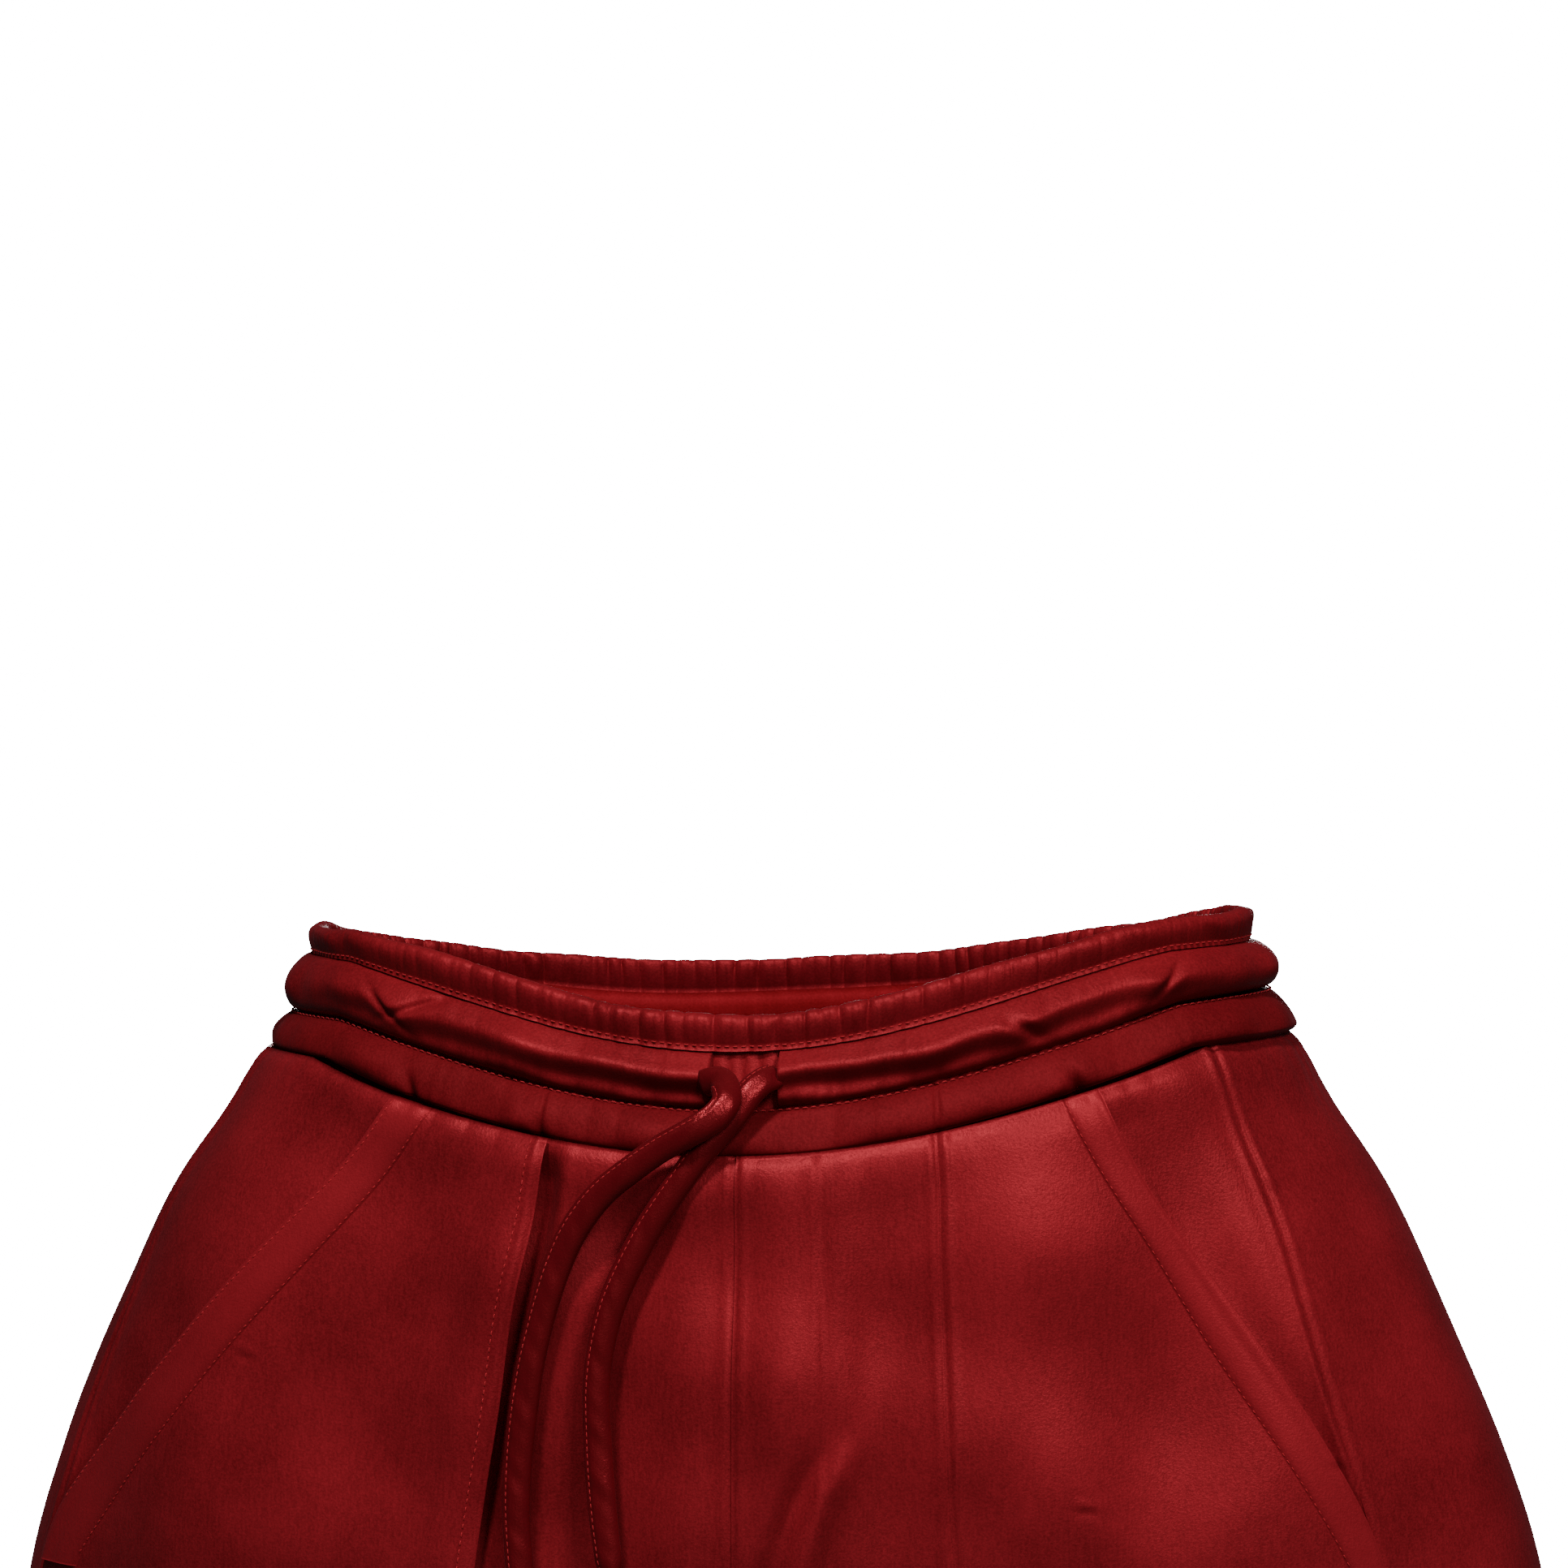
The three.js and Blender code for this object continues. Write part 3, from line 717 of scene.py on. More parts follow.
def headingPoints(angle, v):
    # v runs from the outer stitch line, 0, over the folded top, 0.5, down to the inner stitch line, 1
    place = ringPlace(angle)
    share = gatherShare(angle)
    rise = arch(v, 0.62)
    outward = np.cos(math.pi * v)
    humps = flutes(place, ringLength, *headingForm["humps"], lean=2.4 * (v - 0.5), crease=0.5)
    fine = flutes(place, ringLength, *headingForm["fineHumps"])
    uneven = 0.85 + 0.3 * np.sin(place / 5.3 + 6 * v) + 0.15 * np.sin(place / 2.9 - 8 * v)
    gather = share * (headingForm["deep"] * uneven * (humps - 0.74) + headingForm["fineDeep"] * (fine - 0.6))
    calm = (1 - share) * ripple(place + 26 * v, 23, (53, 31, 19), (0.5, 0.35, 0.2))
    full = headingForm["thickness"] / 2 * (0.35 + 0.65 * arch(v, 0.5))
    bulge = headingForm["bulge"] * arch(np.clip(2 * v, 0, 1), 0.8)
    bulge = bulge - headingForm["flatRight"] * smooth(-np.cos(angle), 0.8, 1)
    folded = (gather + calm) * (0.35 + 0.65 * rise) * np.where(v < 0.5, 1, -1) * np.abs(outward) ** 0.4
    lift = 0.5 * share * (humps - 0.5) + ripple(place, 24, (133, 66.6, 40), (0.5, 0.35, 0.25))
    level = 1 - rise * (1 + 0.07 * lift)
    point = bandPoint(angle, np.clip(level, 0, 1), -0.4 + full * outward + bulge + folded)
    point[..., 2] += np.where(level < 0, -level * 11, 0)
    return point


def tunnelRelief(angle, v):
    place = ringPlace(angle)
    share = gatherShare(angle)
    calm = 0.45 + 0.55 * share
    upper, lower = np.exp(-v * 5.5), np.exp(-(1 - v) * 5.0)
    relief = tunnelForm["bulge"] * arch(v, 0.52)
    puffs = flutes(place, ringLength, *tunnelForm["upperPuffs"], lean=1.5)
    others = flutes(place, ringLength, *tunnelForm["lowerPuffs"], lean=-1.5)
    depth = tunnelForm["puffDepth"]
    relief += share * (depth * upper * (puffs - 0.7) + depth * lower * (others - 0.7)) * arch(v, 0.3)
    relief += calm * ripple(place, 33, (61.5, 36.4, 22.2), (1.2, 0.8, 0.6)) * np.sin(math.pi * v)
    # the crest wanders up and down, with a hollow below it, and both die out at the rounder sides
    ridge = tunnelForm["ridgeAt"] + 0.012 * ripple(place, 34, (80, 44.4, 25), (3.2, 2.4, 1.6))
    calm = calm * (1 - 0.85 * smooth(np.abs(np.cos(angle)), 0.8, 0.97))
    crest, hollow = bell(v - ridge, 0.16), bell(v - (ridge + 0.36), 0.16)
    relief += calm * (tunnelForm["ridge"] * crest - tunnelForm["hollow"] * hollow)
    degrees = np.degrees(angle) % 360
    for middle, height, tilt in tunnelForm["creases"]:
        crease = bell(degrees - middle - tilt * (v - height), 1.3) * bell(v - height, 0.26)
        relief -= tunnelForm["creaseDepth"] * crease
    return relief


def tunnelPoints(angle, v):
    across = np.cos(angle)
    flare = tunnelForm["flareLeft"] * smooth(across, 0.75, 1) * arch(v, 0.25)
    flare = flare + tunnelForm["flareRight"] * smooth(-across, 0.8, 1) * np.exp(-v * 5) * arch(v, 0.5)
    return bandPoint(angle, 1.02 + 0.96 * v, -1.0 + flare + tunnelRelief(angle, v))


def lowerRelief(angle, v):
    place = ringPlace(angle)
    share = 0.15 + 0.85 * gatherShare(angle)
    relief = tierForm["bulge"] * arch(v, 0.5)
    puffs = flutes(place, ringLength, *tierForm["puffs"], lean=1.0)
    edges = np.exp(-v * 4) + 0.8 * np.exp(-(1 - v) * 4)
    relief += share * tierForm["puffDepth"] * edges * (puffs - 0.6) * arch(v, 0.3)
    relief += ripple(place, 42, (88.8, 50, 29.6), (0.9, 0.7, 0.5)) * np.sin(math.pi * v)
    degrees = np.degrees(angle) % 360
    for middle in tierForm["joints"]:
        relief -= tierForm["jointDepth"] * bell(degrees - middle, 0.35)
    for middle, depth in tierForm["pinches"]:
        relief -= depth * bell(degrees - middle - 2 * (v - 1), 0.8) * smooth(v, 0.25, 1)
        relief += 1.4 * bell(degrees - middle + 3.2, 1.6) * smooth(v, 0.3, 0.9) * arch(v, 0.4)
    return relief


def lowerPoints(angle, v):
    across = np.cos(angle)
    left = tierForm["flareLeft"] + tierForm["flareLow"] * v
    flare = np.where(across > 0, left, tierForm["flareRight"]) * smooth(np.abs(across), 0.75, 1)
    flare = flare * (1 - 0.3 * smooth(v, 0.85, 1))
    return bandPoint(angle, 2.03 + 0.97 * v, -1.5 + flare + lowerRelief(angle, v))


def ringPiece(name, shape, rows, material, node, thickness, gap=0.0, step=bandSize["step"]):
    # one layer of the band, all round or with a gap at the front, whose half width is an angle
    first, last = openMiddle + gap, openMiddle + 2 * math.pi - gap
    if not gap:
        first, last = 0.0, 2 * math.pi
    angles = np.linspace(first, last, int((last - first) / (2 * math.pi) * ringLength / step) + 1)
    A, V = np.meshgrid(angles, np.linspace(0, 1, rows), indexing="ij")
    points = shape(A, V)
    piece = clothShell(name, points, thickness, material, flip=True, ring=not gap)
    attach(piece, "body")
    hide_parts(node)


def underPoints(angle, v):
    pleats = flutes(ringPlace(angle), ringLength, *underForm["pleats"])
    relief = underForm["pleatDepth"] * (pleats - 0.5) * arch(np.clip(v, 0.04, 0.96), 0.5)
    return bandPoint(angle, 1.0 + 1.03 * v, -underForm["behind"] + relief)


def facingPoints(angle, v):
    pleats = flutes(ringPlace(angle), ringLength, *facingForm["pleats"])
    relief = facingForm["pleatDepth"] * (pleats - 0.5) * (0.5 + 0.5 * np.exp(-4 * v))
    out = -facingForm["behind"] + relief * (1 - np.exp(-v * 20))
    # it starts close behind the heading, and is drawn inwards at its lower edge
    out = out + facingForm["topOut"] * np.exp(-v * 22) - facingForm["drawnIn"] * smooth(v, 0.78, 1)
    return bandPoint(angle, 0.95 + 2.5 * v, out)


def elasticPoints(angle, v):
    ribs = elasticForm["ribDepth"] * np.sin(v * math.pi * 2 * elasticForm["ribs"])
    waves = elasticForm["waveDepth"] * np.sin(angle * elasticForm["waves"])
    return bandPoint(angle, 1.17 + 1.73 * v, -elasticForm["behind"] + ribs + waves)


def hiddenCordPoints(angle, v):
    out = hiddenCordForm["out"] * (1 - (2 * v - 1) ** 2)
    return bandPoint(angle, hiddenCordForm["top"] + hiddenCordForm["height"] * v, out)


# the tunnel's open ends, a little to the wearer's left of the centre front
openHalf = math.asin(11.5 / form["rimHalfWidth"])
openMiddle = math.radians(270.6)
ringPiece("headingRuffle", headingPoints, 34, bandCloth, "waist_heading", 0.5,
          step=bandSize["fineStep"])
ringPiece("cordTunnel", tunnelPoints, 30, bandCloth, "cord_tunnel", bandSize["cloth"], openHalf)
ringPiece("lowerTier", lowerPoints, 24, tierCloth, "waist_lower_tier", bandSize["cloth"])
ringPiece("gatheredUnderLayer", underPoints, 18, bandCloth, "gathered_under_layer", bandSize["lining"])
ringPiece("innerFacing", facingPoints, 22, innerCloth, "waist_facing", bandSize["lining"])
ringPiece("waistElastic", elasticPoints, 30, elasticCloth, "waist_elastic", 1.0)
ringPiece("cordInTunnel", hiddenCordPoints, 8, cordCloth, "cord_run_in_tunnel", 2.4, openHalf * 1.1)


def bandLine(shape, v, lift=0.25):
    angles = np.linspace(0, 2 * math.pi, 1400)
    line = shape(angles, np.full_like(angles, v))
    near = shape(angles, np.full_like(angles, v + 0.01))
    normal = np.cross(np.gradient(line, axis=0), near - line)
    normal /= np.linalg.norm(normal, axis=1, keepdims=True) + 1e-9
    outward = np.stack([line[:, 0], line[:, 1] * 3, np.zeros(len(line))], -1)
    normal = normal * np.sign((normal * outward).sum(1, keepdims=True))
    return line + normal * lift, normal


bandRows = [
    bandLine(headingPoints, 0.015, 0.55),
    bandLine(headingPoints, 0.97),
    bandLine(lowerPoints, 0.03, 0.45),
]
bandStitches = stitchPiece("bandStitches", bandRows, threadSize)
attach(bandStitches, "body")
print("waistband ready")

# body panels

hemDrop = form["fullDrop"]
panelSize = dict(
    fine=1.5, coarse=3.2, plain=2.6, cloth=1.1, seamDepth=0.8, seamWidth=1.3,
    ridge=0.75, ridgeAt=2.8, ridgeWidth=1.6,  # the seam allowance shows as a ridge beside the seam
    lap=0.0004,  # neighbours run a little past their seam
)
panelRows = dict(top=-0.6, plainUntil=60, fineUntil=178, hem=hemDrop - 3)


def rowDrops(top, bottom, fineUntil, fine, coarse):
    first = np.arange(top, min(fineUntil, bottom), fine)
    rest = np.arange(min(fineUntil, bottom), bottom, coarse)
    return np.unique(np.concatenate([first, rest, [bottom]]))


def panelGrid(side, left, right, drops, step, relief, edges, lift=0.0, legSeams=(False, False)):
    # A grid over the form between two seams, pushed out by its relief and pinched in at its seams
    starts, ends = left(drops) - panelSize["lap"] * edges[0], right(drops) + panelSize["lap"] * edges[1]
    widest = np.max(np.abs(ends - starts)) * 620
    columns = max(int(widest / step), 6)
    share = np.linspace(0, 1, columns + 1)
    turn = mix(starts[None, :], ends[None, :], share[:, None])
    drop = np.broadcast_to(drops[None, :], turn.shape)
    base = outerPoint(side, turn, drop)
    normal = normalsOf(base, side > 0)
    steps = np.linalg.norm(np.diff(base, axis=0), axis=-1)
    fromLeft = np.concatenate([np.zeros((1, steps.shape[1])), np.cumsum(steps, axis=0)])
    fromRight = fromLeft[-1:] - fromLeft
    out = relief(side, turn, drop) + lift
    for distance, wanted in ((fromLeft, legSeams[0]), (fromRight, legSeams[1])):
        if wanted:  # below the crotch these edges meet the inner thigh, so both come down to the form there
            out = out * (1 - smooth(drop, 185, 205) * bell(distance, 9))
    out = out - 0.8 * smooth(drop, hemDrop - 27, hemDrop - 21)  # the hem band lies over it
    for distance, wanted in ((fromLeft, edges[0]), (fromRight, edges[1])):
        if wanted:
            out = out - panelSize["seamDepth"] * np.exp(-distance / panelSize["seamWidth"])
            out = out + panelSize["ridge"] * bell(distance - panelSize["ridgeAt"], panelSize["ridgeWidth"])
    return base + normal * out[..., None], base


def constant(value):
    return lambda drops: np.full_like(drops, value, dtype=float)


def bodyPanel(name, word, left, right, nodes, edges=(True, True), lift=0.0, bottom=panelRows["hem"],
              relief=bodyRelief, fineUntil=panelRows["fineUntil"], step=panelSize["fine"],
              legSeams=(False, False)):
    side = sides[word]
    drops = rowDrops(panelRows["top"], bottom, fineUntil, step, panelSize["coarse"])
    points, base = panelGrid(side, left, right, drops, step, relief, edges, lift, legSeams)
    piece = clothShell(name + word.capitalize(), points, panelSize["cloth"], satinCloth, flip=side > 0)
    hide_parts(*[node + "_" + word for node in nodes])
    bendWithLeg(piece)


pleatSize = dict(depth=6.2, extra=3.0, widest=42, reach=34, width=10, lap=2.0, behind=0.011)


def pleatDistance(turn, drop):
    # millimetres in front of the pleat's edge on the wearer's right
    return (softSeam("princess", "right", drop) - turn) * 640


def pleatRelief(side, turn, drop):
    near = 1 - smooth(pleatDistance(turn, drop), 0, pleatSize["width"])
    fade = 1 - 0.75 * smooth(drop, 190, 330)
    depth = pleatSize["depth"] + pleatSize["extra"] * bell(drop - pleatSize["widest"], pleatSize["reach"])
    return bodyRelief(side, turn, drop) - near * depth * fade * smooth(drop, -3, 14)


def lapRelief(side, turn, drop):
    fade = 1 - smooth(drop, 190, 330)
    return bodyRelief(side, turn, drop) + pleatSize["lap"] * fade * bell(pleatDistance(turn, drop), 11)


def innerRelief(turn, drop):
    return ripple(turn * 200 + drop * 0.2, 61, (70, 43), (1.0, 0.6)) * smooth(drop, 250, 330)


def crotchTop(turn):
    return 240 - 42 * (1 - 2 * turn) ** 2


def tuckedRelief(word):
    # behind the pocket mouth the side cloth lies lower, and comes level again at the side seam
    def relief(side, turn, drop):
        start, end = mouthLine(word, drop), softSeam("sideSeam", word, drop) + 0.004
        share = np.clip((turn - start) / np.maximum(end - start, 1e-3), 0, 1)
        tuck = (1 - smooth(share, 0.1, 0.75)) * mix(0.25, 1, smooth(drop, 0, 14))
        return bodyRelief(side, turn, drop) - 3.2 * tuck
    return relief


def mouthLine(word, drop):
    # below the pocket the front runs on to the side seam
    return np.minimum(softSeam("mouth", word, drop), softSeam("sideSeam", word, drop))


backSeam = constant(0.72)
frontLift = 0.5  # the front side panel lies over its neighbours
for word in sides:
    princess = lambda d, w=word: softSeam("princess", w, d)
    mouth = lambda d, w=word: mouthLine(w, d)
    sideSeam = lambda d, w=word: softSeam("sideSeam", w, d)
    # below the pocket the front laps over the back at the side seam
    frontEnd = lambda d, m=mouth: m(d) + 0.003 * smooth(d, 160, 186)
    if word == "right":  # this side's panel laps over a deep pleat in the front centre
        pleatEnd = lambda d, p=princess: p(d) + pleatSize["behind"]
        bodyPanel("frontCentre", word, constant(0.0), pleatEnd, ["front_centre"], edges=(True, False),
                  relief=pleatRelief, legSeams=(True, False))
    else:
        bodyPanel("frontCentre", word, constant(0.0), princess, ["front_centre"], legSeams=(True, False))
    bodyPanel("frontSide", word, princess, frontEnd, ["front_side", "leg_front"], edges=(True, False),
              lift=frontLift, relief=lapRelief if word == "right" else bodyRelief)
    bodyPanel("sideFacing", word, lambda d, m=mouth: m(d) - 0.02, sideSeam, ["side", "pocket_bag"],
              edges=(False, True), bottom=186, relief=tuckedRelief(word))
    # the wearer's left back shows from the front too, so its rows stay close further down
    bodyPanel("backSide", word, sideSeam, backSeam, ["back_side", "leg_back"], step=2.0,
              fineUntil=panelRows["fineUntil" if word == "left" else "plainUntil"])
    bodyPanel("backCentre", word, backSeam, constant(1.0), ["back_centre"], step=panelSize["plain"],
              fineUntil=panelRows["plainUntil"], legSeams=(False, True))
print("panels ready")

innerSize = dict(columns=70, rows=80, around=150, lap=0.018, seamReach=9, seamDepth=0.6, seamWidth=1.5)
for word, side in sides.items():
    # inner thigh, from the crotch seam to the hem; its edges run a little past the leg's two seams
    fall = np.linspace(0, 1, innerSize["rows"]) ** 0.9
    T, R = np.meshgrid(np.linspace(0, 1, innerSize["columns"]), fall, indexing="ij")
    D = mix(crotchTop(T) - 1.5, panelRows["hem"], R)
    base = innerPoint(side, T + (T - 0.5) * innerSize["lap"] * legShare(D), D)
    normal = normalsOf(base, side > 0)
    relief = innerRelief(T, D)
    for edge in (T * innerSize["around"], (1 - T) * innerSize["around"]):
        relief = relief * (1 - bell(edge, innerSize["seamReach"]))
        relief = relief - innerSize["seamDepth"] * np.exp(-edge / innerSize["seamWidth"])
    points = base + normal * relief[..., None]
    thigh = clothShell("innerThigh" + word.capitalize(), points, panelSize["cloth"], satinCloth, side > 0)
    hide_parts("inner_thigh_" + word, "leg_inner_" + word)
    bendWithLeg(thigh)

# crotch gusset, widest in the middle and sunk along its long edges
gussetSize = dict(halfWidth=13, widest=1.25, taper=1.6, raised=1.0, sunk=2.5)
G, X = np.meshgrid(np.linspace(0, 1, 60), np.linspace(-1, 1, 15), indexing="ij")
middle = innerPoint(1, G, crotchTop(G))
reach = gussetSize["halfWidth"] * (gussetSize["widest"] - np.abs(2 * G - 1) ** gussetSize["taper"])
height = middle[..., 2] + gussetSize["raised"] - gussetSize["sunk"] * X ** 2
gussetPoints = np.stack([X * reach, middle[..., 1], height], -1)
gusset = clothShell("crotchGusset", gussetPoints, panelSize["cloth"], satinCloth)
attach(gusset, "body")
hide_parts("crotch_gusset")
print("legs ready")

# pocket welts

weltSize = dict(lift=1.2, cloth=2.6, bottom=182, rows=1.4, columns=0.9, puff=1.1, rolled=1.0, stitchDip=0.9)


def weltInner(word, drop):
    return np.minimum(softSeam("stitched", word, drop), mouthLine(word, drop) - 0.004)


def weltOuter(word, drop):
    return mouthLine(word, drop) + 0.001


def weltRelief(word):
    def relief(side, turn, drop):
        start, end = weltInner(word, drop), weltOuter(word, drop)
        share = np.clip((turn - start) / np.maximum(end - start, 1e-4), 0, 1)
        puff = weltSize["puff"] * arch(share, 0.6)
        edge = weltSize["rolled"] * smooth(share, 0.6, 0.95) - weltSize["stitchDip"] * np.exp(-share * 14)
        return bodyRelief(side, turn, drop) + weltSize["lift"] + puff + edge
    return relief


for word, side in sides.items():
    inner = lambda d, w=word: weltInner(w, d)
    outer = lambda d, w=word: weltOuter(w, d)
    bottom, rows = weltSize["bottom"], weltSize["rows"]
    drops = rowDrops(panelRows["top"], bottom, bottom, rows, rows)
    points, base = panelGrid(side, inner, outer, drops, weltSize["columns"], weltRelief(word), (False, False))
    welt = clothShell("pocketWelt" + word.capitalize(), points, weltSize["cloth"], trimCloth, flip=side > 0)
    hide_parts("pocket_welt_" + word)
    bendWithLeg(welt)

# hem bands

hemSize = dict(height=24, lift=1.4, cloth=3.6, ventGap=0.0015, columns=320, rows=16, puff=1.0, gather=0.35,
               seamReach=9, around=556)


def hemPoint(side, turn, drop):
    share = drop / form["fullDrop"]
    x, y = legPoint(turn, softSteps(widthSteps, share), softSteps(depthSteps, share))
    return np.stack([side * x, y, bandLevels[3][0] - drop + 0 * x], -1)


wholeTurn = 360 / legForm["sweep"]
for word, side in sides.items():
    # once round the leg, from the vent at the side seam back to it
    vent = float(softSeam("sideSeam", word, np.array([hemDrop]))[0])
    turns = np.linspace(vent + hemSize["ventGap"], vent + wholeTurn - hemSize["ventGap"], hemSize["columns"])
    drops = np.linspace(hemDrop - hemSize["height"], hemDrop, hemSize["rows"])
    T, D = np.meshgrid(turns, drops, indexing="ij")
    base = hemPoint(side, T, D)
    normal = normalsOf(base, side > 0)
    share = (D - hemDrop + hemSize["height"]) / hemSize["height"]
    outer = np.where(T > wholeTurn, T - wholeTurn, np.minimum(T, 1))
    inThigh = (T > 1) & (T < wholeTurn)
    thighRelief = innerRelief((T - 1) / (wholeTurn - 1), D)
    body = np.where(inThigh, thighRelief, bodyRelief(side, outer, D))
    for seamTurn in (1, wholeTurn):
        body = body * (1 - bell((T - seamTurn) * hemSize["around"], hemSize["seamReach"]))
    humps = flutes(T * 400, 600, 71, 7, 18)
    puff = hemSize["puff"] * arch(share, 0.5) + hemSize["gather"] * (humps - 0.5) * np.exp(-share * 4)
    points = base + normal * (body + hemSize["lift"] + puff)[..., None]
    hem = clothShell("hemBand" + word.capitalize(), points, hemSize["cloth"], trimCloth, flip=side > 0)
    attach(hem, "leg_" + word)
    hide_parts("hem_band_" + word)
print("trims ready")

# drawcord

cords = {
    "right": dict(
        route=[(-11.5, -88, -30.5), (-6.5, -91, -29.3), (-3.4, -95.5, -31), (-2.4, -100.5, -35.5),
               (-6, -103.5, -40.5), (-14, -105, -45.5), (-24, -104.5, -51), (-34, -104, -58),
               (-45, -103.5, -67), (-54, -103, -79), (-60, -103, -92), (-65, -103.5, -108),
               (-69, -104.5, -125), (-71.5, -105.5, -142), (-73, -106.5, -158), (-73.5, -107.5, -174),
               (-72.5, -108.5, -190), (-71, -109, -207)],
        width=9.8, thick=5.8, hinge="tail_right"),
    "left": dict(
        route=[(12.5, -87, -28), (8.8, -91.0, -29.2), (4.5, -94.5, -33), (0.5, -97, -39),
               (-5, -98.5, -45.5), (-12, -100, -54), (-20, -101.5, -65), (-28, -102.5, -77),
               (-35, -103.5, -90), (-41, -105, -104), (-44.5, -106, -118), (-46, -107, -132),
               (-45.6, -108, -146), (-44.5, -109.5, -162), (-43, -111, -177), (-41, -112, -192)],
        width=9.6, thick=5.6, hinge="tail_left"),
}


cordThread = dict(pitch=2.4, thread=0.34)


cordForm = dict(
    sides=32, squareness=(0.85, 0.95), facing=(0.12, -1.0, 0.18),
    twist=8, twistLength=37, firstTwist=22, firstReach=9,  # degrees and millimetres
    drawnIn=0.35, drawnFrom=11, drawnTo=3,  # narrower where it runs into the knot
    grooveDepth=0.6, grooveAt=0.74, grooveWidth=0.1, stitchLift=0.12,
    wrinkle=0.16, capBulge=0.4, pathStep=4,
)


def smoothPath(route, spacing=1.0):
    # a curve through every point of the route, cut into even steps
    points = np.array(route, float)
    padded = np.vstack([2 * points[0] - points[1], points, 2 * points[-1] - points[-2]])
    line = []
    for i in range(len(points) - 1):
        p0, p1, p2, p3 = padded[i:i + 4]
        for t in np.linspace(0, 1, 24, endpoint=False):
            line.append(0.5 * (2 * p1 + (p2 - p0) * t + (2 * p0 - 5 * p1 + 4 * p2 - p3) * t ** 2
                               + (3 * p1 - p0 - 3 * p2 + p3) * t ** 3))
    line.append(points[-1])
    line = np.array(line)
    travelled = np.concatenate([[0], np.cumsum(np.linalg.norm(np.diff(line, axis=0), axis=1))])
    spots = np.linspace(0, travelled[-1], int(travelled[-1] / spacing) + 1)
    return np.stack([np.interp(spots, travelled, line[:, k]) for k in range(3)], -1)


def cordPiece(name, look, seed):
    # a flattish strip swept along its route, and the line that its edge stitching follows
    path = smoothPath(look["route"])
    count = len(path)
    tangent = np.gradient(path, axis=0)
    tangent /= np.linalg.norm(tangent, axis=1, keepdims=True)
    place = np.arange(count, dtype=float)
    start = np.random.default_rng(seed).uniform(0, 6)
    sway = cordForm["twist"] * np.sin(place / cordForm["twistLength"] + start)
    twist = np.radians(sway + cordForm["firstTwist"] * np.exp(-place / cordForm["firstReach"]))
    facing = np.tile(np.array(cordForm["facing"]), (count, 1))
    facing -= (facing * tangent).sum(1, keepdims=True) * tangent
    facing /= np.linalg.norm(facing, axis=1, keepdims=True)
    across = np.cross(tangent, facing)
    front = facing * np.cos(twist)[:, None] + across * np.sin(twist)[:, None]
    across = np.cross(tangent, front)
    n = cordForm["sides"]
    around = np.linspace(0, 2 * math.pi, n + 1)[:-1]
    c, s = np.cos(around), np.sin(around)
    squareAcross, squareFront = cordForm["squareness"]
    outAcross, outFront = np.sign(c) * np.abs(c) ** squareAcross, np.sign(s) * np.abs(s) ** squareFront
    width = look["width"] / 2 * (1 + 0.03 * np.sin(place / 11)[:, None])
    knotted = smooth(place, count - cordForm["drawnFrom"], count - cordForm["drawnTo"])
    width = width * (1 - cordForm["drawnIn"] * knotted[:, None])
    thick = look["thick"] / 2 * (1 + 0.05 * np.sin(place / 17 + 1)[:, None])
    groove = cordForm["grooveDepth"] * bell(c - cordForm["grooveAt"], cordForm["grooveWidth"]) * (s > 0)
    wrinkles = ripple(place[:, None] + 6 * c[None, :], seed + 3, (9, 15, 24), (0.5, 0.6, 0.8))
    thick = thick + cordForm["wrinkle"] * wrinkles
    rings = (path[:, None] + across[:, None] * (width * outAcross[None, :])[..., None]
             + front[:, None] * (thick * outFront[None, :] - groove[None, :])[..., None])
    vertices = rings.reshape(-1, 3)
    i, j = np.meshgrid(np.arange(count - 1), np.arange(n), indexing="ij")
    k = (j + 1) % n
    quads = np.stack([i * n + j, i * n + k, (i + 1) * n + k, (i + 1) * n + j], -1).reshape(-1, 4)
    bulge = cordForm["capBulge"]
    tips = np.array([path[0] - tangent[0] * bulge, path[-1] + tangent[-1] * bulge])
    firstTip, lastTip, lastRing = len(vertices), len(vertices) + 1, (count - 1) * n
    caps = [((a + 1) % n, a, firstTip) for a in range(n)]
    caps += [(lastRing + a, lastRing + (a + 1) % n, lastTip) for a in range(n)]
    piece = makeMesh(name, np.concatenate([vertices, tips]), quads.tolist() + caps, cordCloth)
    stitched = int(np.argmin(np.abs(c - cordForm["grooveAt"]) + 10 * (s < 0)))
    return piece, path, (rings[:, stitched] + front * cordForm["stitchLift"], front)


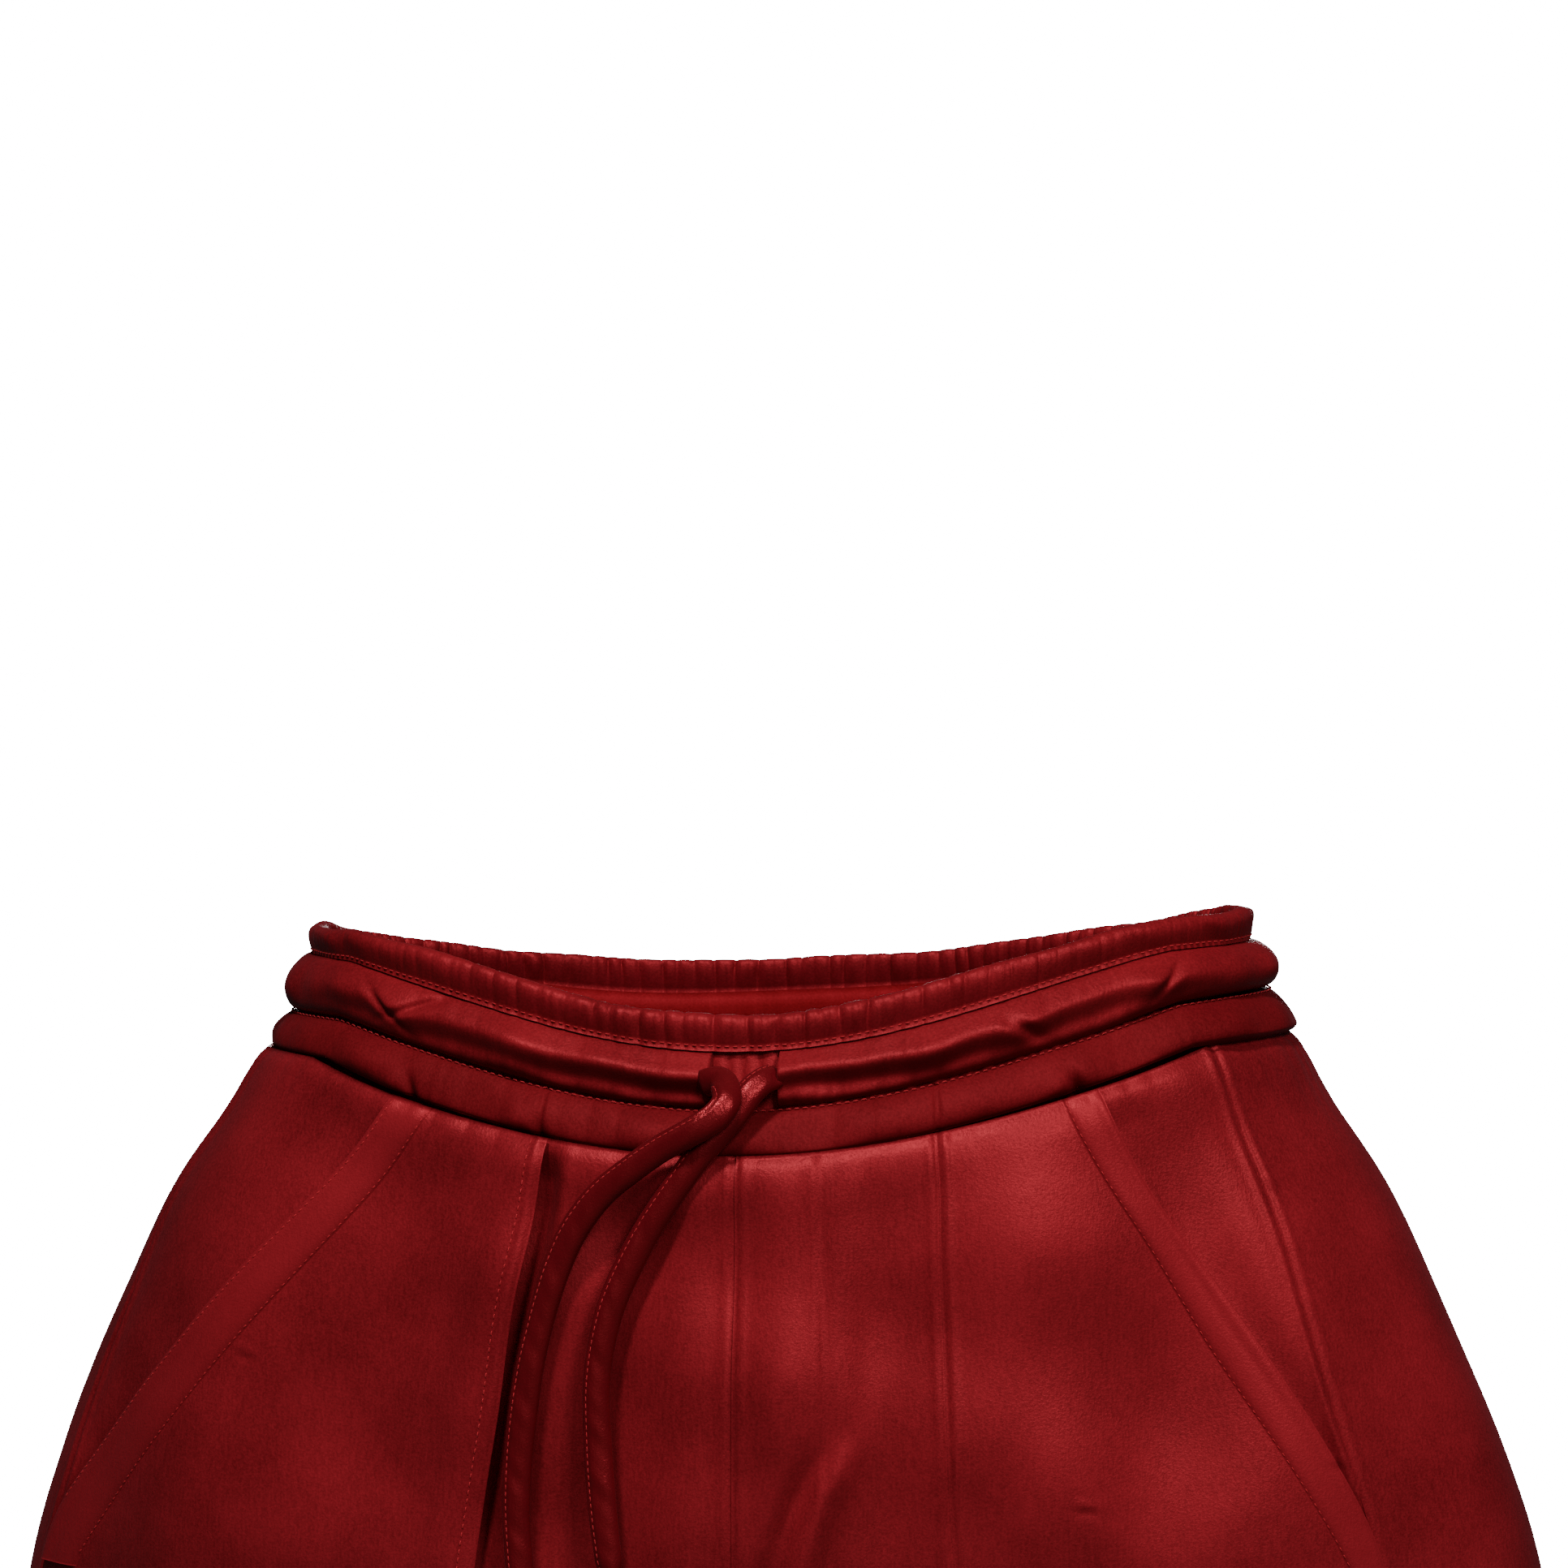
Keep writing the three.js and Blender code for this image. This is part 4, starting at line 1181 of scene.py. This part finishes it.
def knotPiece(name, centre, halves):
    # an overhand knot: a fat strand that winds through itself
    t = np.linspace(0, 2 * math.pi, 140, endpoint=False)
    x = np.sin(t) + 2 * np.sin(2 * t)
    y = np.cos(t) - 2 * np.cos(2 * t)
    z = -np.sin(3 * t)
    line = np.stack([x / 3 * halves[0] * 0.62, z * halves[1] * 0.42, y / 3 * halves[2] * 0.66], -1)
    line = line + np.array(centre)
    tangent = np.roll(line, -1, 0) - np.roll(line, 1, 0)
    tangent /= np.linalg.norm(tangent, axis=1, keepdims=True)
    helper = np.cross(tangent, np.array([0.1, 1.0, 0.05]))
    helper /= np.linalg.norm(helper, axis=1, keepdims=True)
    other = np.cross(tangent, helper)
    around = np.linspace(0, 2 * math.pi, 14, endpoint=False)
    radius = (min(halves) * 0.42 * (1 + 0.06 * np.sin(9 * t)))[:, None]
    rings = (line[:, None] + helper[:, None] * (radius * np.cos(around))[..., None]
             + other[:, None] * (radius * 0.85 * np.sin(around))[..., None])
    count, n = len(t), len(around)
    i, j = np.meshgrid(np.arange(count), np.arange(n), indexing="ij")
    nextRing, nextSide = (i + 1) % count, (j + 1) % n
    quads = np.stack([i * n + j, nextRing * n + j, nextRing * n + nextSide, i * n + nextSide], -1)
    return makeMesh(name, rings.reshape(-1, 3), quads.reshape(-1, 4), cordCloth)


for seed, (word, look) in enumerate(cords.items(), 80):
    title = word.capitalize()
    low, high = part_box("drawcord_knot_" + word)
    centre = [(low[k] + high[k]) / 2 / mm for k in range(3)]
    halves = [(high[k] - low[k]) / 2 / mm for k in range(3)]
    knot = knotPiece("drawcordKnot" + title, centre, halves)
    intoKnot = (centre[0], centre[1], centre[2] + 0.2 * halves[2])  # the tail runs on into its knot
    look = dict(look, route=look["route"] + [intoKnot])
    tail, path, edgeRow = cordPiece("drawcordTail" + title, look, seed)
    edgeStitches = stitchPiece("drawcordStitches" + title, [edgeRow], dict(threadSize, **cordThread))
    for piece, node in ((knot, "drawcord_knot_"), (tail, "drawcord_tail_")):
        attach(piece, look["hinge"])
        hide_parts(node + word)
    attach(edgeStitches, look["hinge"])

# seam stitching on the body


def seamRow(word, turns, drops, relief, lift=0.15):
    side = sides[word]
    base = outerPoint(side, turns, drops)
    right = outerPoint(side, turns + 0.002, drops) - base
    below = outerPoint(side, turns, drops + 1) - base
    normal = np.cross(right, below) * -side
    normal /= np.linalg.norm(normal, axis=1, keepdims=True)
    return base + normal * (relief(side, turns, drops) + lift)[:, None], normal


def besideSeam(line, word, drops, millimetres):
    # a line that keeps its distance from a seam; a positive one lies nearer the back
    turns = softSeam(line, word, drops) if line != "mouth" else mouthLine(word, drops)
    here, there = outerPoint(sides[word], turns, drops), outerPoint(sides[word], turns + 0.01, drops)
    return turns + 0.01 * millimetres / np.linalg.norm(there - here, axis=1)


def laidOn(relief):
    return lambda side, turns, drops: relief(side, turns, drops) + frontLift


fromSeam = dict(princessRight=5.2, princess=2.6, stitched=1.0, sideSeam=2.6, mouth=-1.3)
long = np.arange(1.0, hemDrop - 30, 1.0)
short = np.arange(1.0, 180.0, 1.0)
pocketRow = short[:-18]
for word in sides:
    sideSeamRow = seamRow(word, besideSeam("sideSeam", word, long, fromSeam["sideSeam"]), long, bodyRelief)
    weltRow = seamRow(word, besideSeam("stitched", word, short, fromSeam["stitched"]), short,
                      weltRelief(word), -0.1)
    if word == "right":  # the lap has one row, set back from its edge, and the pocket has a row at its mouth
        lapTurns = besideSeam("princess", word, long, fromSeam["princessRight"])
        rows = [
            seamRow(word, lapTurns, long, laidOn(lapRelief)),
            weltRow, sideSeamRow,
            seamRow(word, besideSeam("mouth", word, pocketRow, fromSeam["mouth"]), pocketRow,
                    weltRelief(word), 0.0),
        ]
    else:  # a row on either side of the seam
        rows = [
            seamRow(word, besideSeam("princess", word, long, fromSeam["princess"]), long, laidOn(bodyRelief)),
            weltRow, sideSeamRow,
            seamRow(word, besideSeam("princess", word, long, -fromSeam["princess"]), long, bodyRelief),
        ]
    seamStitches = stitchPiece("seamStitches" + word.capitalize(), rows, threadSize)
    bendWithLeg(seamStitches)
print("stitches ready")

# camera, light and floor

view = dict(azimuth=7.8, pitch=2.62, roll=0.2, distance=2.195, lens=143.33, across=-0.00161, down=0.03042)
azimuth, pitch, roll = (math.radians(view[key]) for key in ("azimuth", "pitch", "roll"))
away = math.cos(pitch)
forward = Vector((-math.sin(azimuth) * away, math.cos(azimuth) * away, -math.sin(pitch)))
level = forward.cross(Vector((0, 0, 1))).normalized()
steep = level.cross(forward)
rightward = level * math.cos(roll) - steep * math.sin(roll)
upward = steep * math.cos(roll) + level * math.sin(roll)
ray = forward + rightward * view["across"] - upward * view["down"]
cameraData = bpy.data.cameras.new("frontCamera")
cameraData.lens = view["lens"]
cameraData.sensor_width = 36
cameraData.clip_end = 50
camera = bpy.data.objects.new("frontCamera", cameraData)
turned = Matrix((rightward, upward, -forward)).transposed().to_4x4()
camera.matrix_world = Matrix.Translation(-ray * view["distance"]) @ turned
bpy.context.scene.collection.objects.link(camera)
bpy.context.scene.camera = camera

lights = [
    dict(name="keyLight", place=(-0.18, -1.25, 1.75), size=0.28, watts=34),
    dict(name="sideLight", place=(1.05, -1.7, 1.25), size=0.6, watts=27),
    dict(name="fillLight", place=(0.4, -2.4, 0.3), size=0.9, watts=2),
    dict(name="backLight", place=(-0.05, 1.05, -0.15), size=0.5, watts=11),
]
lightAim = Vector((0, 0, -0.1))
for look in lights:
    lamp = bpy.data.lights.new(look["name"], "AREA")
    lamp.size = look["size"]
    lamp.energy = look["watts"]
    lampObject = bpy.data.objects.new(look["name"], lamp)
    lampObject.location = look["place"]
    aim = lightAim - Vector(look["place"])
    lampObject.rotation_euler = aim.to_track_quat("-Z", "Y").to_euler()
    lampObject.visible_camera = False
    bpy.context.scene.collection.objects.link(lampObject)

# only the camera sees the glow of the room and the floor, so it doesn't light the cloth
stageSize = dict(reach=30.0, below=0.002, glow=22.0, roomLight=0.03, floorShade=0.12)


def cameraGlow(tree, rest, target):
    # the glow for the camera, and the rest for every other ray
    seen = addNode(tree, "ShaderNodeLightPath")
    glow = addNode(tree, "ShaderNodeMath", {1: stageSize["glow"], 2: rest}, operation="MULTIPLY_ADD")
    tree.links.new(seen.outputs["Is Camera Ray"], glow.inputs[0])
    tree.links.new(glow.outputs["Value"], target)


world = bpy.data.worlds.new("paleRoom")
world.use_nodes = True
room = world.node_tree.nodes["Background"]
room.inputs["Color"].default_value = (1, 1, 1, 1)
cameraGlow(world.node_tree, stageSize["roomLight"], room.inputs["Strength"])
bpy.context.scene.world = world

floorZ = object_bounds()[0].z - stageSize["below"]
reach, shade = stageSize["reach"], stageSize["floorShade"]
corners = [(-reach, -reach, floorZ), (reach, -reach, floorZ), (reach, reach, floorZ), (-reach, reach, floorZ)]
floorMesh = bpy.data.meshes.new("paleFloor")
floorMesh.from_pydata(corners, [], [(0, 1, 2, 3)])
floor = bpy.data.objects.new("paleFloor", floorMesh)
floorPaint = bpy.data.materials.new("paleFloorPaint")
floorPaint.use_nodes = True
floorShader = floorPaint.node_tree.nodes["Principled BSDF"]
floorShader.inputs["Base Color"].default_value = (shade, shade, shade, 1)
floorShader.inputs["Roughness"].default_value = 0.8
floorShader.inputs["Emission Color"].default_value = (1, 1, 1, 1)
cameraGlow(floorPaint.node_tree, 0.0, floorShader.inputs["Emission Strength"])
floorMesh.materials.append(floorPaint)
bpy.context.scene.collection.objects.link(floor)
print("stage ready")
